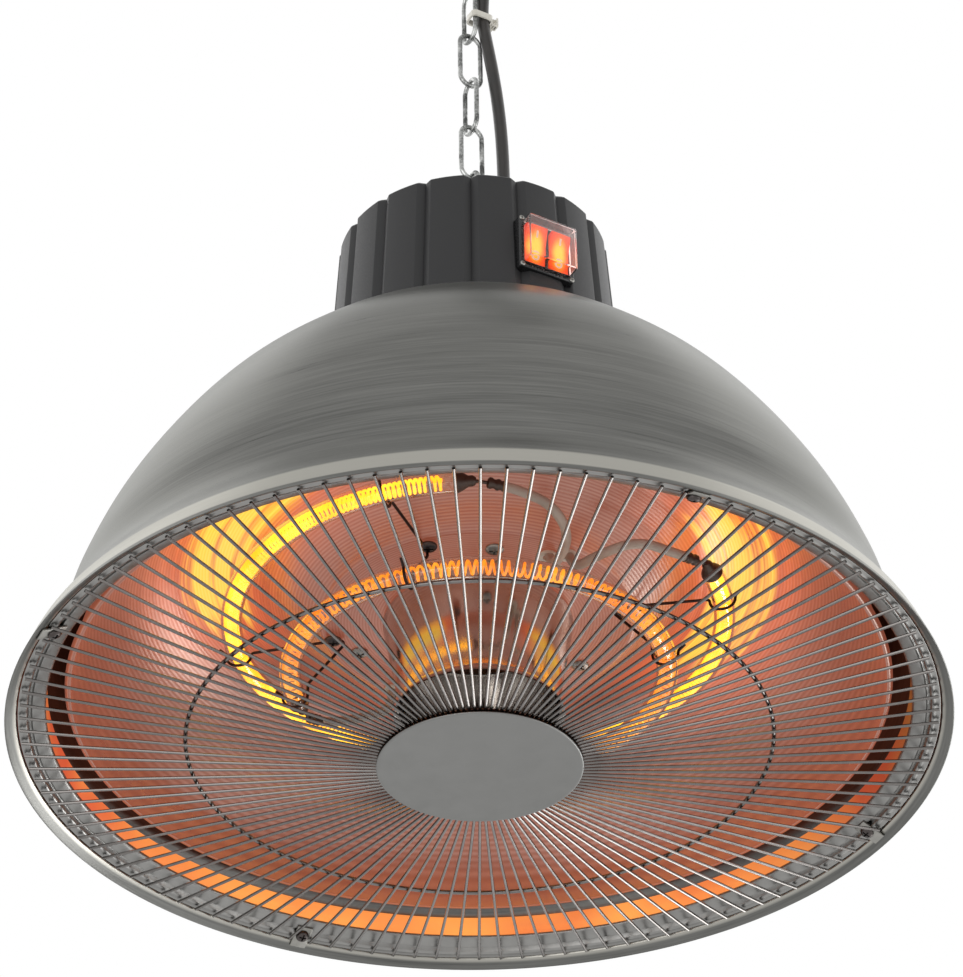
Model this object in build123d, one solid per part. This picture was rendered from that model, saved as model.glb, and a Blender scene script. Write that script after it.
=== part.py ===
"""Hanging patio heater: an open bell with two ring lamps, hung by a chain from a snap hook.

While it is modelled, height 0 is the plane of the bell's rim. Each piece is then lowered by hang_height, so that the
frame's origin is the hanging point: the top of the inside of the snap hook's bow. +Z is up and -Y is the switch's side.
An azimuth is measured in degrees from -Y towards +X. Lengths are in millimetres.
"""
from build123d import *
import math
import os

# Shared
full_turn = 360.0
running_gap = 0.3
seat_gap = 0.1
pivot_gap = 0.05
overrun = 5.0

# Bell
bell_radius = 207.5
bell_height = 195.0
bell_wall = 1.0
crease_height = 10.0
lip_reach = 5.0
lip_radius = bell_radius + lip_reach
lip_drop = 2.0
hem_reach = 0.1
hem_radius = bell_radius + hem_reach
hem_height = 1.5
bell_top_radius = 72.0
bell_outline_shares = [(0.424, 0.977), (0.501, 0.933), (0.584, 0.854), (0.678, 0.746), (0.764, 0.615),
                       (0.843, 0.462), (0.899, 0.308), (0.939, 0.154)]
wall_steps = 16

# Guard's frame ring, inside the bell's rim
frame_gap = 0.8
frame_outer_radius = hem_radius - frame_gap
frame_width = 12.2
frame_inner_radius = frame_outer_radius - frame_width
frame_outer_height = 2.0
frame_rise = 5.0
frame_upstand = 11.0
frame_wall = 0.8

# Reflector, hung in the bell
reflector_wall = 0.8
reflector_gap = 3.6
flange_radius = frame_inner_radius - reflector_gap
flange_height = 18.0
flange_width = 4.0
bead_radius = 2.0
flat_height = 64.0
flat_radius = 72.0
bowl_rise = 70.0
bowl_shares = [(0.942, 0.314), (0.873, 0.600), (0.794, 0.814), (0.714, 0.943), (0.635, 0.986), (0.529, 0.900),
               (0.450, 0.771)]
hanger_count = 3
hanger_azimuth = -22.0
hanger_ring_radius = 60.0
hanger_radius = 2.5
hanger_shank_radius = 2.0
hanger_head_radius = 4.2
hanger_head_height = 1.6

# Centre cup
cup_top_radius = 44.0
cup_taper = 8.0
cup_flare = 3.0
cup_waist_radius = cup_top_radius - cup_taper
cup_lip_radius = cup_waist_radius + cup_flare
cup_depth = 50.4
cup_flare_height = 3.5
cup_wall = 0.8
cup_screw_radius = 2.0
cup_screw_head_radius = 5.0
cup_screw_head_height = 2.4
cup_nut_radius = 4.0
cup_nut_height = 3.0

# Ring lamps: each tube runs from its start azimuth round by its sweep
tube_radius = 5.0
tube_wall = 1.0
filament_gap = 0.3
filament_radius = tube_radius - tube_wall - filament_gap
outer_lamp_radius = 113.5
outer_lamp_height = 62.0
outer_lamp_start = 39.5
outer_lamp_sweep = 286.5
inner_lamp_radius = 86.0
inner_lamp_height = 35.5
inner_lamp_start = -133.5
inner_lamp_sweep = 286.0
filament_margin = 3.0
seal_length = 9.0
seal_tip_radius = 2.2
lead_radius = 0.8
lead_overlap = 1.0
clamp_radius = 2.6
clamp_length = 7.0
clamp_overlap = 1.0
sleeve_radius = 2.25
sleeve_bend = 14.0
sleeve_lead = 6.0
sleeve_rise = 10.0
hole_far_radius = 68.0
hole_near_radius = 62.5
hole_azimuth_far = 7.0
hole_azimuth_near = 1.0
bushing_wall = 1.15
bushing_flange_width = 1.2
bushing_radius = sleeve_radius + bushing_wall
bushing_flange_radius = bushing_radius + bushing_flange_width
bushing_flange_height = 1.4
bushing_length = 3.6

# Each place on a lamp's wiring is its azimuth and radius from the tube's end, and its height, for a clamp from the tube
# and for a sleeve from the low end of its last run.
clamp_places = {"outer_right": [(-7.3, -2.5, -1.0), (-10.9, -4.9, -2.0)],
                "outer_left": [(7.4, 0.1, -1.0), (11.0, -0.9, -2.0)],
                "inner_right": [(10.7, 0.6, 1.0), (15.3, -0.6, 3.0)],
                "inner_left": [(-10.7, 0.6, 1.0), (-15.3, -0.6, 3.0)]}
sleeve_places = {"outer_right": [(-25.0, -10.5, 3.0), (-30.5, -25.5, 0.0)],
                 "outer_left": [(23.0, -6.5, 3.0), (32.0, -23.5, 0.0)],
                 "inner_right": [(23.5, -6.0, -8.5), (28.0, -16.0, -4.0)],
                 "inner_left": [(-26.5, -4.0, -8.5), (-35.5, -11.0, -3.0)]}

# Wire brackets that cradle both tubes
bracket_azimuths = [50.0, 130.0, -130.0, -50.0]
bracket_wire_radius = 0.7
bracket_inner_foot = 61.0
bracket_outer_foot = 75.0
bracket_screw_ring_radius = 68.0
bracket_curl_rise = 3.0
bracket_curl_reach = 3.2
bracket_bend = 2.0
bracket_bend_share = 0.98
bracket_screw_radius = 1.5
bracket_head_radius = 4.0
bracket_head_height = 2.0
bracket_screw_length = 6.0

# Guard
spoke_count = 120
spoke_radius = 0.75
spoke_margin = 0.8
spoke_outer_radius = frame_outer_radius - spoke_margin
spoke_inner_radius = 39.0
spoke_outer_height = 1.0
spoke_drop = 13.6
mid_ring_share = 0.641
mid_ring_radius = spoke_outer_radius * mid_ring_share
mid_ring_wire_radius = 1.0
spoke_tuck = 7.6
hub_radius = spoke_inner_radius + spoke_tuck
hub_wall = 1.0
hub_back_margin = 2.6
hub_back_radius = hub_radius - hub_back_margin
clip_count = 4
clip_azimuth = -3.5
clip_width = 8.0
clip_wall = 1.0
clip_margin_inner = 3.9
clip_margin_outer = 3.0
clip_inner_radius = frame_inner_radius + clip_margin_inner
clip_outer_radius = lip_radius - clip_margin_outer
clip_screw_offset = 4.5
clip_screw_ring_radius = clip_inner_radius + clip_screw_offset
clip_screw_radius = 1.3
clip_head_radius = 3.2
clip_head_height = 2.0
clip_screw_length = 7.0

# Cap on the bell's top
cap_lobes = 18
cap_setback = 0.5
cap_bottom_radius = bell_top_radius - cap_setback
cap_taper = 5.2
cap_top_radius = cap_bottom_radius - cap_taper
cap_height = 88.8
cap_crown_wall = 2.6
cap_wall = 2.2
cap_valley_depth = 2.4
cap_chamfer = 4.0
cap_chamfer_width = 6.0
lobe_flat_share = 0.67
boss_count = 3
boss_azimuth = 60.0
boss_inset = 10.0
boss_ring_radius = cap_bottom_radius - boss_inset
boss_radius = 6.0
boss_height = 18.0
boss_bore_radius = 1.6
boss_bore_depth = 12.0
base_plate_inset = 6.0
base_plate_radius = cap_bottom_radius - base_plate_inset
base_plate_wall = 1.2
cap_screw_head_radius = 4.0
cap_screw_head_height = 2.2
cap_screw_length = 14.0

# Terminal block on the base plate
block_length = 30.0
block_width = 18.0
block_height = 14.0
block_place = -34.0
block_screw_radius = 2.0
block_screw_pitch = 9.0
block_recess = 4.0

# Switch in the cap's front lobe
switch_height = 41.0
bezel_width = 29.5
bezel_tall = 31.0
bezel_depth = 10.0
bezel_stand_off = 2.3
pocket_half_height = 11.6
pocket_side = 2.5
rib_width = 1.2
rocker_half_height = 10.5
rocker_dip = 3.6
rocker_tilt = 9.0
rocker_corner_back = 1.8
rocker_tail_depth = 2.4
rocker_tail_half = 2.5
rocker_pin_radius = 1.0
rocker_pin_length = 0.4
cover_width = 26.0
cover_tall = 25.5
cover_depth = 8.0
cover_wall = 0.9
body_width = 24.0
body_tall = 26.0
body_depth = 20.0
tab_width = 6.3
tab_thickness = 0.8
tab_length = 8.0
tab_offset = 6.0

# Eye bolt, nuts and gland on the cap's crown
eye_radius = 11.0
eye_wire_radius = 2.0
stem_radius = 3.0
stem_tail = 7.0
eye_nut_flats = 10.0
eye_nut_height = 2.6
lower_nut_height = 5.0
gland_place = 18.7
gland_flats = 14.0
gland_nut_height = 5.0
gland_waist_radius = 6.0
gland_waist_height = 2.5
gland_dome_radius = 6.6
gland_top_radius = 4.6
gland_height = 16.0

# Chain
link_count = 10
link_length = 37.3
link_half_width = 7.25
link_wire_radius = 1.25

# Snap hook
hook_length = 60.0
hook_half_width = 12.0
hook_wire_radius = 2.5
gate_radius = 2.2
gate_pivot_share = 0.30
gate_nose_share = 0.76
gate_ear_thickness = 0.9
gate_ear_rise = 4.6
gate_ear_half_width = 2.3
gate_pin_radius = 1.1

# Cord and its coil
cord_radius = 3.25
cord_share = 0.45
coil_outer_radius = 49.5
coil_pitch = 8.4
coil_layer_step = 7.2
coil_turns = 6.5
coil_first_layer = 4.2
coil_inner_edge = -11.2
coil_start_height = 518.0
gap_samples = 40

# Plug
plug_neck_radius = 4.6
plug_neck_length = 14.0
plug_grip_radius = 9.5
plug_grip_length = 18.0
plug_body_radius = 17.5
plug_body_length = 14.0
plug_edge = 1.5
plug_pin_radius = 2.4
plug_pin_length = 19.0
plug_pin_offset = 9.5

# Nylon ties
tie_wall = 1.0
tie_width = 3.6
tie_gap = 0.25
tie_head = 5.0

# Stack of heights, from the rim up to the hanging point
cap_bottom = bell_height + seat_gap
cap_top = cap_bottom + cap_height
eye_height = cap_top + eye_nut_height + eye_radius + seat_gap
link_pitch = link_length - 4 * link_wire_radius - running_gap
first_link_bottom = eye_height + eye_radius - 2 * eye_wire_radius - running_gap - 2 * link_wire_radius
last_link_bottom = first_link_bottom + (link_count - 1) * link_pitch
hook_bottom = last_link_bottom + link_length - 2 * link_wire_radius - running_gap - 2 * hook_wire_radius
hang_height = hook_bottom + hook_length - 2 * hook_wire_radius
switch_level = cap_bottom + switch_height

# Each lamp as its ring's radius, height, start and sweep
outer_lamp = (outer_lamp_radius, outer_lamp_height, outer_lamp_start, outer_lamp_sweep)
inner_lamp = (inner_lamp_radius, inner_lamp_height, inner_lamp_start, inner_lamp_sweep)


def polar(azimuth, radius, height):
    """A place at an azimuth from -Y towards +X."""
    angle = math.radians(azimuth)
    return Vector(radius * math.sin(angle), -radius * math.cos(angle), height)


def spread(shape, count, first):
    """Copies of a shape built at azimuth 0, evenly round the axis."""
    return [Rot(0, 0, first + full_turn / count * index) * shape for index in range(count)]


def spun(outline):
    """An outline in radius and height, turned round the axis."""
    return revolve(Plane.XZ * outline, Axis.Z, full_turn)


def polygon(points):
    """A closed straight-sided face."""
    return make_face(Polyline(*points, close=True))


def sheet(points, wall):
    """A curved sheet between a spline and its parallel, on the side of the axis."""
    outer = Spline(*points)
    shares = [step / wall_steps for step in range(wall_steps + 1)]
    inner = Spline(*[(outer @ share) + (outer % share).rotate(Axis.Z, -90) * wall for share in shares])
    return make_face([outer, inner, Line(outer @ 0, inner @ 0), Line(outer @ 1, inner @ 1)])


def box_between(low, high):
    """A box from its lowest to its highest corner."""
    size = [high[axis] - low[axis] for axis in range(3)]
    middle = [(high[axis] + low[axis]) / 2 for axis in range(3)]
    return Pos(*middle) * Box(*size)


def ring_arc(radius, height, section, start, sweep_angle, bore=0):
    """A round bar, or a tube with a bore, bent round the axis from one azimuth to another."""
    face = Pos(radius, height) * Circle(section)
    if bore:
        face -= Pos(radius, height) * Circle(bore)
    return Rot(0, 0, start - 90) * revolve(Plane.XZ * face, Axis.Z, sweep_angle)


def rod(start, end, radius):
    """A round rod between two places."""
    start, end = Vector(*start), Vector(*end)
    plane = Plane(origin=start, z_dir=end - start)
    return plane * Cylinder(radius, (end - start).length, align=(Align.CENTER, Align.CENTER, Align.MIN))


def upright(radius, bottom, top, place=(0, 0)):
    """A vertical cylinder between two heights."""
    return rod((*place, bottom), (*place, top), radius)


def dome_screw(head_radius, head_height, shank_radius, length):
    """A dome-headed screw: its head hangs below height 0 and its shank rises from it."""
    sphere = (head_radius ** 2 + head_height ** 2) / (2 * head_height)
    head = Pos(0, 0, sphere - head_height) * Sphere(sphere)
    head &= box_between((-head_radius, -head_radius, -head_height), (head_radius, head_radius, 0))
    return head + upright(shank_radius, 0, length)


def corner_radii(points, limit=math.inf):
    """The largest radius that each corner of a route takes, up to a limit."""
    radii = []
    for before, corner, after in zip(points, points[1:], points[2:]):
        first, second = Vector(*corner) - Vector(*before), Vector(*after) - Vector(*corner)
        half_turn = math.radians(first.get_angle(second)) / 2
        radii.append(min(limit, cord_share * min(first.length, second.length) / math.tan(half_turn)))
    return radii


def bent_rod(points, radius, limit=math.inf):
    """A round rod along straight runs joined by arcs."""
    path = FilletPolyline(*points, radius=corner_radii(points, limit))
    section = Plane(origin=path @ 0, z_dir=path % 0) * Circle(radius)
    return sweep(section, path=path)


def bell():
    """The spun bell in two solids that meet level: the wall with its flare and hem, and the flat top."""
    neck = (bell_top_radius, bell_height)
    crease = (bell_radius, crease_height)
    points = [neck] + [(bell_radius * wide, bell_height * high) for wide, high in bell_outline_shares] + [crease]
    wall = sheet(points, bell_wall)
    top = polygon([(0, bell_height - bell_wall), (bell_top_radius, bell_height - bell_wall), neck, (0, bell_height)])
    hem = polygon([crease, (lip_radius, -lip_drop), (hem_radius, hem_height),
                   (bell_radius - bell_wall, crease_height + bell_wall / 2)])
    shell = spun(wall + top + hem)
    shell -= upright(stem_radius + seat_gap, bell_height - overrun, bell_height + overrun)
    bore = rod(polar(0, boss_ring_radius, bell_height - overrun), polar(0, boss_ring_radius, bell_height + overrun),
               boss_bore_radius + seat_gap)
    for hole in spread(bore, boss_count, boss_azimuth):
        shell -= hole
    slab = upright(lip_radius, bell_height - bell_wall, bell_height + overrun)
    return shell - slab, shell & slab


def reflector():
    rim = (flange_radius - flange_width, flange_height + bead_radius)
    points = [(flat_radius, flat_height)]
    bead_ring_radius = flange_radius - flange_width - bead_radius
    points += [(flange_radius * wide, flange_height + bowl_rise * high) for wide, high in reversed(bowl_shares)]
    points += [(bead_ring_radius, flange_height + bead_radius)]
    outline = sheet(points, -reflector_wall)
    outline += polygon([(0, flat_height), (flat_radius, flat_height), (flat_radius, flat_height + reflector_wall),
                        (0, flat_height + reflector_wall)])
    outline += Pos(bead_ring_radius, flange_height + bead_radius) * Circle(bead_radius)
    outline += polygon([(bead_ring_radius, rim[1] - reflector_wall / 2), (flange_radius, rim[1] - reflector_wall / 2),
                        (flange_radius, rim[1] + reflector_wall / 2), (bead_ring_radius, rim[1] + reflector_wall / 2)])
    bowl = spun(outline)
    bottom, top = flat_height - overrun, flat_height + overrun
    bowl -= upright(cup_screw_radius + seat_gap, bottom, top)
    hanger_hole = rod(polar(0, hanger_ring_radius, bottom), polar(0, hanger_ring_radius, top), hanger_shank_radius + seat_gap)
    for hole in spread(hanger_hole, hanger_count, hanger_azimuth):
        bowl -= hole
    for place in sleeve_holes().values():
        bowl -= upright(bushing_radius + seat_gap, bottom, top, (place.X, place.Y))
    for azimuth in bracket_azimuths:
        place = bracket_screw_place(azimuth)
        bowl -= upright(bracket_screw_radius + seat_gap, bottom, top, (place.X, place.Y))
    return bowl


def reflector_hangers():
    top = bell_height - bell_wall - seat_gap
    seat = flat_height + reflector_wall + seat_gap
    hanger = rod(polar(0, hanger_ring_radius, seat), polar(0, hanger_ring_radius, top), hanger_radius)
    screw = dome_screw(hanger_head_radius, hanger_head_height, hanger_shank_radius, seat - flat_height + seat_gap)
    hanger += Pos(*polar(0, hanger_ring_radius, flat_height - seat_gap)) * screw
    return spread(hanger, hanger_count, hanger_azimuth)


def centre_cup():
    top = flat_height - seat_gap
    bottom = top - cup_depth
    waist = bottom + cup_flare_height
    outline = polygon([(0, top), (cup_top_radius, top), (cup_waist_radius, waist), (cup_lip_radius, bottom),
                       (cup_lip_radius - cup_wall, bottom), (cup_waist_radius - cup_wall, waist),
                       (cup_top_radius - cup_wall, top - cup_wall), (0, top - cup_wall)])
    return spun(outline) - upright(cup_screw_radius + seat_gap, top - overrun, top + overrun)


def cup_screw():
    head_seat = flat_height - cup_wall - 2 * seat_gap
    nut_seat = flat_height + reflector_wall + seat_gap
    length = nut_seat + cup_nut_height - head_seat
    screw = Pos(0, 0, head_seat) * dome_screw(cup_screw_head_radius, cup_screw_head_height, cup_screw_radius, length)
    nut = upright(cup_nut_radius, nut_seat, nut_seat + cup_nut_height)
    return [screw, nut - upright(cup_screw_radius, nut_seat - overrun, nut_seat + overrun)]


def sleeve_holes():
    """Where each lamp's two sleeves pass the reflector's flat: the inner lamp's stand opposite the outer lamp's."""
    return {"outer_right": polar(hole_azimuth_far, hole_far_radius, flat_height),
            "outer_left": polar(hole_azimuth_near, hole_near_radius, flat_height),
            "inner_right": polar(hole_azimuth_near + full_turn / 2, hole_near_radius, flat_height),
            "inner_left": polar(hole_azimuth_far + full_turn / 2, hole_far_radius, flat_height)}


def lamp_tail(name):
    """Where a lamp's end sits and which way it leaves, its clamp's two ends and its sleeve's run."""
    radius, height, start, sweep_angle = outer_lamp if name.startswith("outer") else inner_lamp
    at_finish = name in ("outer_left", "inner_right")
    azimuth = start + sweep_angle if at_finish else start
    leaving = polar(azimuth + (90 if at_finish else -90), 1, 0)
    low = flat_height - sleeve_rise
    clamp = [polar(azimuth + turn, radius + out, height + up) for turn, out, up in clamp_places[name]]
    run = [polar(azimuth + turn, radius + out, low + up) for turn, out, up in sleeve_places[name]]
    hole = sleeve_holes()[name]
    run += [Vector(hole.X, hole.Y, low), Vector(hole.X, hole.Y, flat_height + sleeve_rise)]
    return polar(azimuth, radius, height), leaving, clamp, run


def lamp_end(name):
    """The tube's tapered seal, its lead and the clamp that grips the sleeve's wire."""
    end, leaving, clamp, _ = lamp_tail(name)
    plane = Plane(origin=end, z_dir=leaving)
    start = (Align.CENTER, Align.CENTER, Align.MIN)
    seal = plane * Cone(tube_radius, seal_tip_radius, seal_length, align=start)
    lead = rod(end + leaving * (seal_length - lead_overlap), clamp[0], lead_radius)
    direction = (clamp[1] - clamp[0]).normalized()
    grip = rod(clamp[0] - direction * clamp_overlap, clamp[0] + direction * clamp_length, clamp_radius)
    return seal + lead + grip


def lamp_sleeve(name):
    """The insulating sleeve from the clamp to above the reflector's flat."""
    _, _, clamp, run = lamp_tail(name)
    direction = (clamp[1] - clamp[0]).normalized()
    start = clamp[0] + direction * (clamp_length + seat_gap)
    return bent_rod([start, start + direction * sleeve_lead] + run, sleeve_radius, sleeve_bend)


def sleeve_bushings():
    seat = flat_height - seat_gap
    bushings = []
    for place in sleeve_holes().values():
        flange = upright(bushing_flange_radius, seat - bushing_flange_height, seat, (place.X, place.Y))
        body = upright(bushing_radius, seat, seat + bushing_length, (place.X, place.Y))
        bore = upright(sleeve_radius + seat_gap, seat - overrun, seat + 2 * overrun, (place.X, place.Y))
        bushings.append(flange + body - bore)
    return bushings


def bracket_screw_place(azimuth):
    """The screw stands beside the wire, which its head clamps."""
    along = polar(azimuth + 90, 1, 0) * (bracket_wire_radius + bracket_screw_radius + seat_gap)
    return polar(azimuth, bracket_screw_ring_radius, flat_height) + along


def lamp_bracket(azimuth):
    """A wire with a cradle under each tube, built in the XZ plane and turned to its azimuth."""
    half = tube_radius + bracket_wire_radius + 2 * seat_gap
    under_flat = flat_height - bracket_wire_radius - seat_gap
    outer_bottom = outer_lamp_height - half
    inner_bottom = inner_lamp_height - half
    outer_rise = outer_lamp_height + bracket_wire_radius
    inner_rise = inner_lamp_height + bracket_wire_radius
    points = [(outer_lamp_radius + half + bracket_curl_reach, outer_rise + bracket_curl_rise),
              (outer_lamp_radius + half, outer_rise), (outer_lamp_radius + half, outer_bottom),
              (outer_lamp_radius - half, outer_bottom), (outer_lamp_radius - half, outer_lamp_height),
              (bracket_outer_foot, under_flat), (bracket_inner_foot, under_flat),
              (inner_lamp_radius - half, inner_lamp_height + half), (inner_lamp_radius - half, inner_bottom),
              (inner_lamp_radius + half, inner_bottom), (inner_lamp_radius + half, inner_rise),
              (inner_lamp_radius + half + bracket_curl_reach, inner_rise + bracket_curl_rise)]
    limits = [bracket_bend, half, half, bracket_bend, bracket_bend, bracket_bend, bracket_bend, half, half,
              bracket_bend]
    path = FilletPolyline(*[(radius, 0, height) for radius, height in points],
                          radius=[limit * bracket_bend_share for limit in limits])
    section = Plane(origin=path @ 0, z_dir=path % 0) * Circle(bracket_wire_radius)
    return Rot(0, 0, azimuth - 90) * sweep(section, path=path)


def bracket_screws():
    seat = flat_height - 2 * bracket_wire_radius - 2 * seat_gap
    screw = dome_screw(bracket_head_radius, bracket_head_height, bracket_screw_radius, bracket_screw_length)
    places = [bracket_screw_place(azimuth) for azimuth in bracket_azimuths]
    return [Pos(place.X, place.Y, seat) * screw for place in places]


def spoke_level(radius):
    """The height of a spoke's centre line at a radius."""
    run = (spoke_outer_radius - radius) / (spoke_outer_radius - spoke_inner_radius)
    return spoke_outer_height - spoke_drop * run


def guard_spokes():
    spoke = rod(polar(0, spoke_outer_radius, spoke_level(spoke_outer_radius)),
                polar(0, spoke_inner_radius, spoke_level(spoke_inner_radius)), spoke_radius)
    half_pitch = full_turn / spoke_count / 2
    return spread(spoke, spoke_count, clip_azimuth + half_pitch)


def guard_mid_ring():
    height = spoke_level(mid_ring_radius) + spoke_radius + mid_ring_wire_radius + seat_gap / 2
    return ring_arc(mid_ring_radius, height, mid_ring_wire_radius, 0, full_turn)


def guard_frame_ring():
    top = frame_outer_height + frame_rise
    edge = top + frame_upstand
    back_radius = frame_inner_radius + frame_wall
    corner = top + frame_wall - frame_rise * frame_wall / frame_width
    band = spun(polygon([(frame_outer_radius, frame_outer_height), (frame_inner_radius, top),
                         (frame_inner_radius, edge), (back_radius, edge), (back_radius, corner),
                         (frame_outer_radius, frame_outer_height + frame_wall)]))
    for hole in spread(clip_frame() * upright(clip_screw_radius + seat_gap, -overrun, overrun), clip_count,
                       clip_azimuth):
        band -= hole
    return band


def clip_ends():
    """A clip's top lies under the frame ring at its inner end and under the hem at its outer end."""
    inner_share = (frame_outer_radius - clip_inner_radius) / (frame_outer_radius - frame_inner_radius)
    outer_share = (lip_radius - clip_outer_radius) / (lip_radius - hem_radius)
    inner = polar(0, clip_inner_radius, frame_outer_height + frame_rise * inner_share - seat_gap)
    outer = polar(0, clip_outer_radius, (hem_height + lip_drop) * outer_share - lip_drop - seat_gap)
    return inner, outer


def clip_frame():
    """The clip's place at azimuth 0: its origin is the screw on the clip's top, its X runs outwards."""
    inner, outer = clip_ends()
    along = (outer - inner).normalized()
    share = (clip_screw_ring_radius - clip_inner_radius) / (clip_outer_radius - clip_inner_radius)
    return Plane(origin=inner + (outer - inner) * share, x_dir=along, z_dir=Vector(0, along.Z, -along.Y))


def guard_clips():
    inner, outer = clip_ends()
    screw = clip_frame().origin
    plate = box_between((-(screw - inner).length, -clip_width / 2, -clip_wall),
                        ((outer - screw).length, clip_width / 2, 0))
    plate -= upright(clip_screw_radius + seat_gap, -overrun, overrun)
    return spread(clip_frame() * plate, clip_count, clip_azimuth)


def guard_clip_screws():
    screw = dome_screw(clip_head_radius, clip_head_height, clip_screw_radius, clip_screw_length)
    seated = Pos(0, 0, -clip_wall - seat_gap) * screw
    return spread(clip_frame() * seated, clip_count, clip_azimuth)


def hub_plate():
    top = spoke_level(spoke_inner_radius) - spoke_radius - seat_gap
    return upright(hub_radius, top - hub_wall, top)


def hub_back_plate():
    bottom = spoke_level(hub_back_radius) + spoke_radius + seat_gap
    return upright(hub_back_radius, bottom, bottom + hub_wall)


def lobed_outline(radius):
    """The cap's outline: flat lobes with sloped shoulders that meet in a valley."""
    half_pitch = full_turn / cap_lobes / 2
    shoulder = half_pitch * lobe_flat_share
    edges = []
    for index in range(cap_lobes):
        middle = full_turn / cap_lobes * index
        places = [polar(middle - shoulder, radius, 0), polar(middle, radius, 0), polar(middle + shoulder, radius, 0)]
        valley = polar(middle + half_pitch, radius - cap_valley_depth, 0)
        following = polar(middle + 2 * half_pitch - shoulder, radius, 0)
        edges += [ThreePointArc(*places), Line(places[2], valley), Line(valley, following)]
    return make_face(edges)


def cap_radius(height):
    """The radius of the cap's lobes at a height."""
    return cap_bottom_radius + (cap_top_radius - cap_bottom_radius) * (height - cap_bottom) / cap_height


def cap():
    foot = Pos(0, 0, cap_bottom) * lobed_outline(cap_bottom_radius)
    shell = loft([foot, Pos(0, 0, cap_top) * lobed_outline(cap_top_radius)], ruled=True)
    inset = cap_valley_depth + cap_wall
    ceiling = cap_top - cap_crown_wall
    shell &= spun(polygon([(0, cap_bottom - overrun), (cap_bottom_radius + overrun, cap_bottom - overrun),
                           (cap_bottom_radius + overrun, cap_top - cap_chamfer),
                           (cap_top_radius, cap_top - cap_chamfer), (cap_top_radius - cap_chamfer_width, cap_top),
                           (0, cap_top)]))
    hollow = polygon([(0, cap_bottom - overrun), (cap_bottom_radius - inset, cap_bottom - overrun),
                      (cap_bottom_radius - inset, cap_bottom), (cap_radius(ceiling) - inset, ceiling), (0, ceiling)])
    shell -= spun(hollow)
    boss_bottom = cap_bottom + base_plate_wall + 2 * seat_gap
    boss = rod(polar(0, boss_ring_radius, boss_bottom), polar(0, boss_ring_radius, boss_bottom + boss_height), boss_radius)
    boss -= rod(polar(0, boss_ring_radius, boss_bottom - overrun), polar(0, boss_ring_radius, boss_bottom + boss_bore_depth),
                boss_bore_radius)
    for post in spread(boss, boss_count, boss_azimuth):
        shell += post
    front = -cap_radius(switch_level) - overrun
    shell -= box_between((-bezel_width / 2 - seat_gap, front, switch_level - bezel_tall / 2 - seat_gap),
                         (bezel_width / 2 + seat_gap, front + 4 * overrun, switch_level + bezel_tall / 2 + seat_gap))
    shell -= upright(stem_radius + seat_gap, ceiling - overrun, cap_top + overrun)
    return shell


def cap_base_plate():
    bottom = bell_height + seat_gap
    plate = upright(base_plate_radius, bottom, bottom + base_plate_wall)
    plate -= upright(stem_radius + seat_gap, bottom - overrun, bottom + overrun)
    bore = rod(polar(0, boss_ring_radius, bottom - overrun), polar(0, boss_ring_radius, bottom + overrun),
               boss_bore_radius + seat_gap)
    for hole in spread(bore, boss_count, boss_azimuth):
        plate -= hole
    return plate


def cap_screws():
    seat = bell_height - bell_wall - seat_gap
    screw = dome_screw(cap_screw_head_radius, cap_screw_head_height, boss_bore_radius, cap_screw_length)
    return spread(Pos(*polar(0, boss_ring_radius, seat)) * screw, boss_count, boss_azimuth)


def terminal_block():
    bottom = cap_bottom + base_plate_wall + seat_gap
    top = bottom + block_height
    block = box_between((block_place - block_width / 2, -block_length / 2, bottom),
                        (block_place + block_width / 2, block_length / 2, top))
    for index in (-1, 0, 1):
        for side in (-1, 1):
            place = (block_place + side * block_width / 4, index * block_screw_pitch)
            block -= upright(block_screw_radius, top - block_recess, top + overrun, place)
    return block


def switch_front():
    """The front plane of the bezel."""
    return -cap_radius(switch_level) - bezel_stand_off


def rocker_width():
    return (bezel_width - 2 * pocket_side - rib_width) / 2 - 2 * running_gap


def rocker_middle():
    """How far each rocker's middle lies from the switch's."""
    return (rib_width + rocker_width()) / 2 + running_gap


def rocker_pivot():
    """The rockers' axis, in depth and height."""
    return switch_front() + rocker_dip, switch_level


def switch_bezel():
    front = switch_front()
    frame = box_between((-bezel_width / 2, front, switch_level - bezel_tall / 2),
                        (bezel_width / 2, front + bezel_depth, switch_level + bezel_tall / 2))
    half = bezel_width / 2 - pocket_side
    for side in (-1, 1):
        inner, outer = side * rib_width / 2, side * half
        frame -= box_between((min(inner, outer), front - overrun, switch_level - pocket_half_height),
                             (max(inner, outer), front + 3 * overrun, switch_level + pocket_half_height))
    depth, height = rocker_pivot()
    reach = half + rocker_pin_length + seat_gap
    return frame - rod((-reach, depth, height), (reach, depth, height), rocker_pin_radius + pivot_gap)


def rocker(side):
    """A rocker in its pressed-in ON place, with its pivot stubs."""
    depth, height = rocker_pivot()
    edge = rocker_dip + rocker_half_height * math.tan(math.radians(rocker_tilt))
    outline = polygon([(-rocker_dip, 0), (-edge, rocker_half_height),
                       (-rocker_corner_back, rocker_half_height - rocker_corner_back / 2),
                       (rocker_tail_depth, rocker_tail_half), (rocker_tail_depth, -rocker_tail_half),
                       (-rocker_corner_back, -rocker_half_height + rocker_corner_back / 2),
                       (-edge, -rocker_half_height)])
    width = rocker_width()
    key = extrude(Plane.YZ * outline, amount=width / 2, both=True)
    stub = width / 2 + running_gap + rocker_pin_length
    key += rod((-stub, 0, 0), (stub, 0, 0), rocker_pin_radius)
    key = Rot(rocker_tilt, 0, 0) * key
    return Pos(side * rocker_middle(), depth, height) * key


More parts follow.
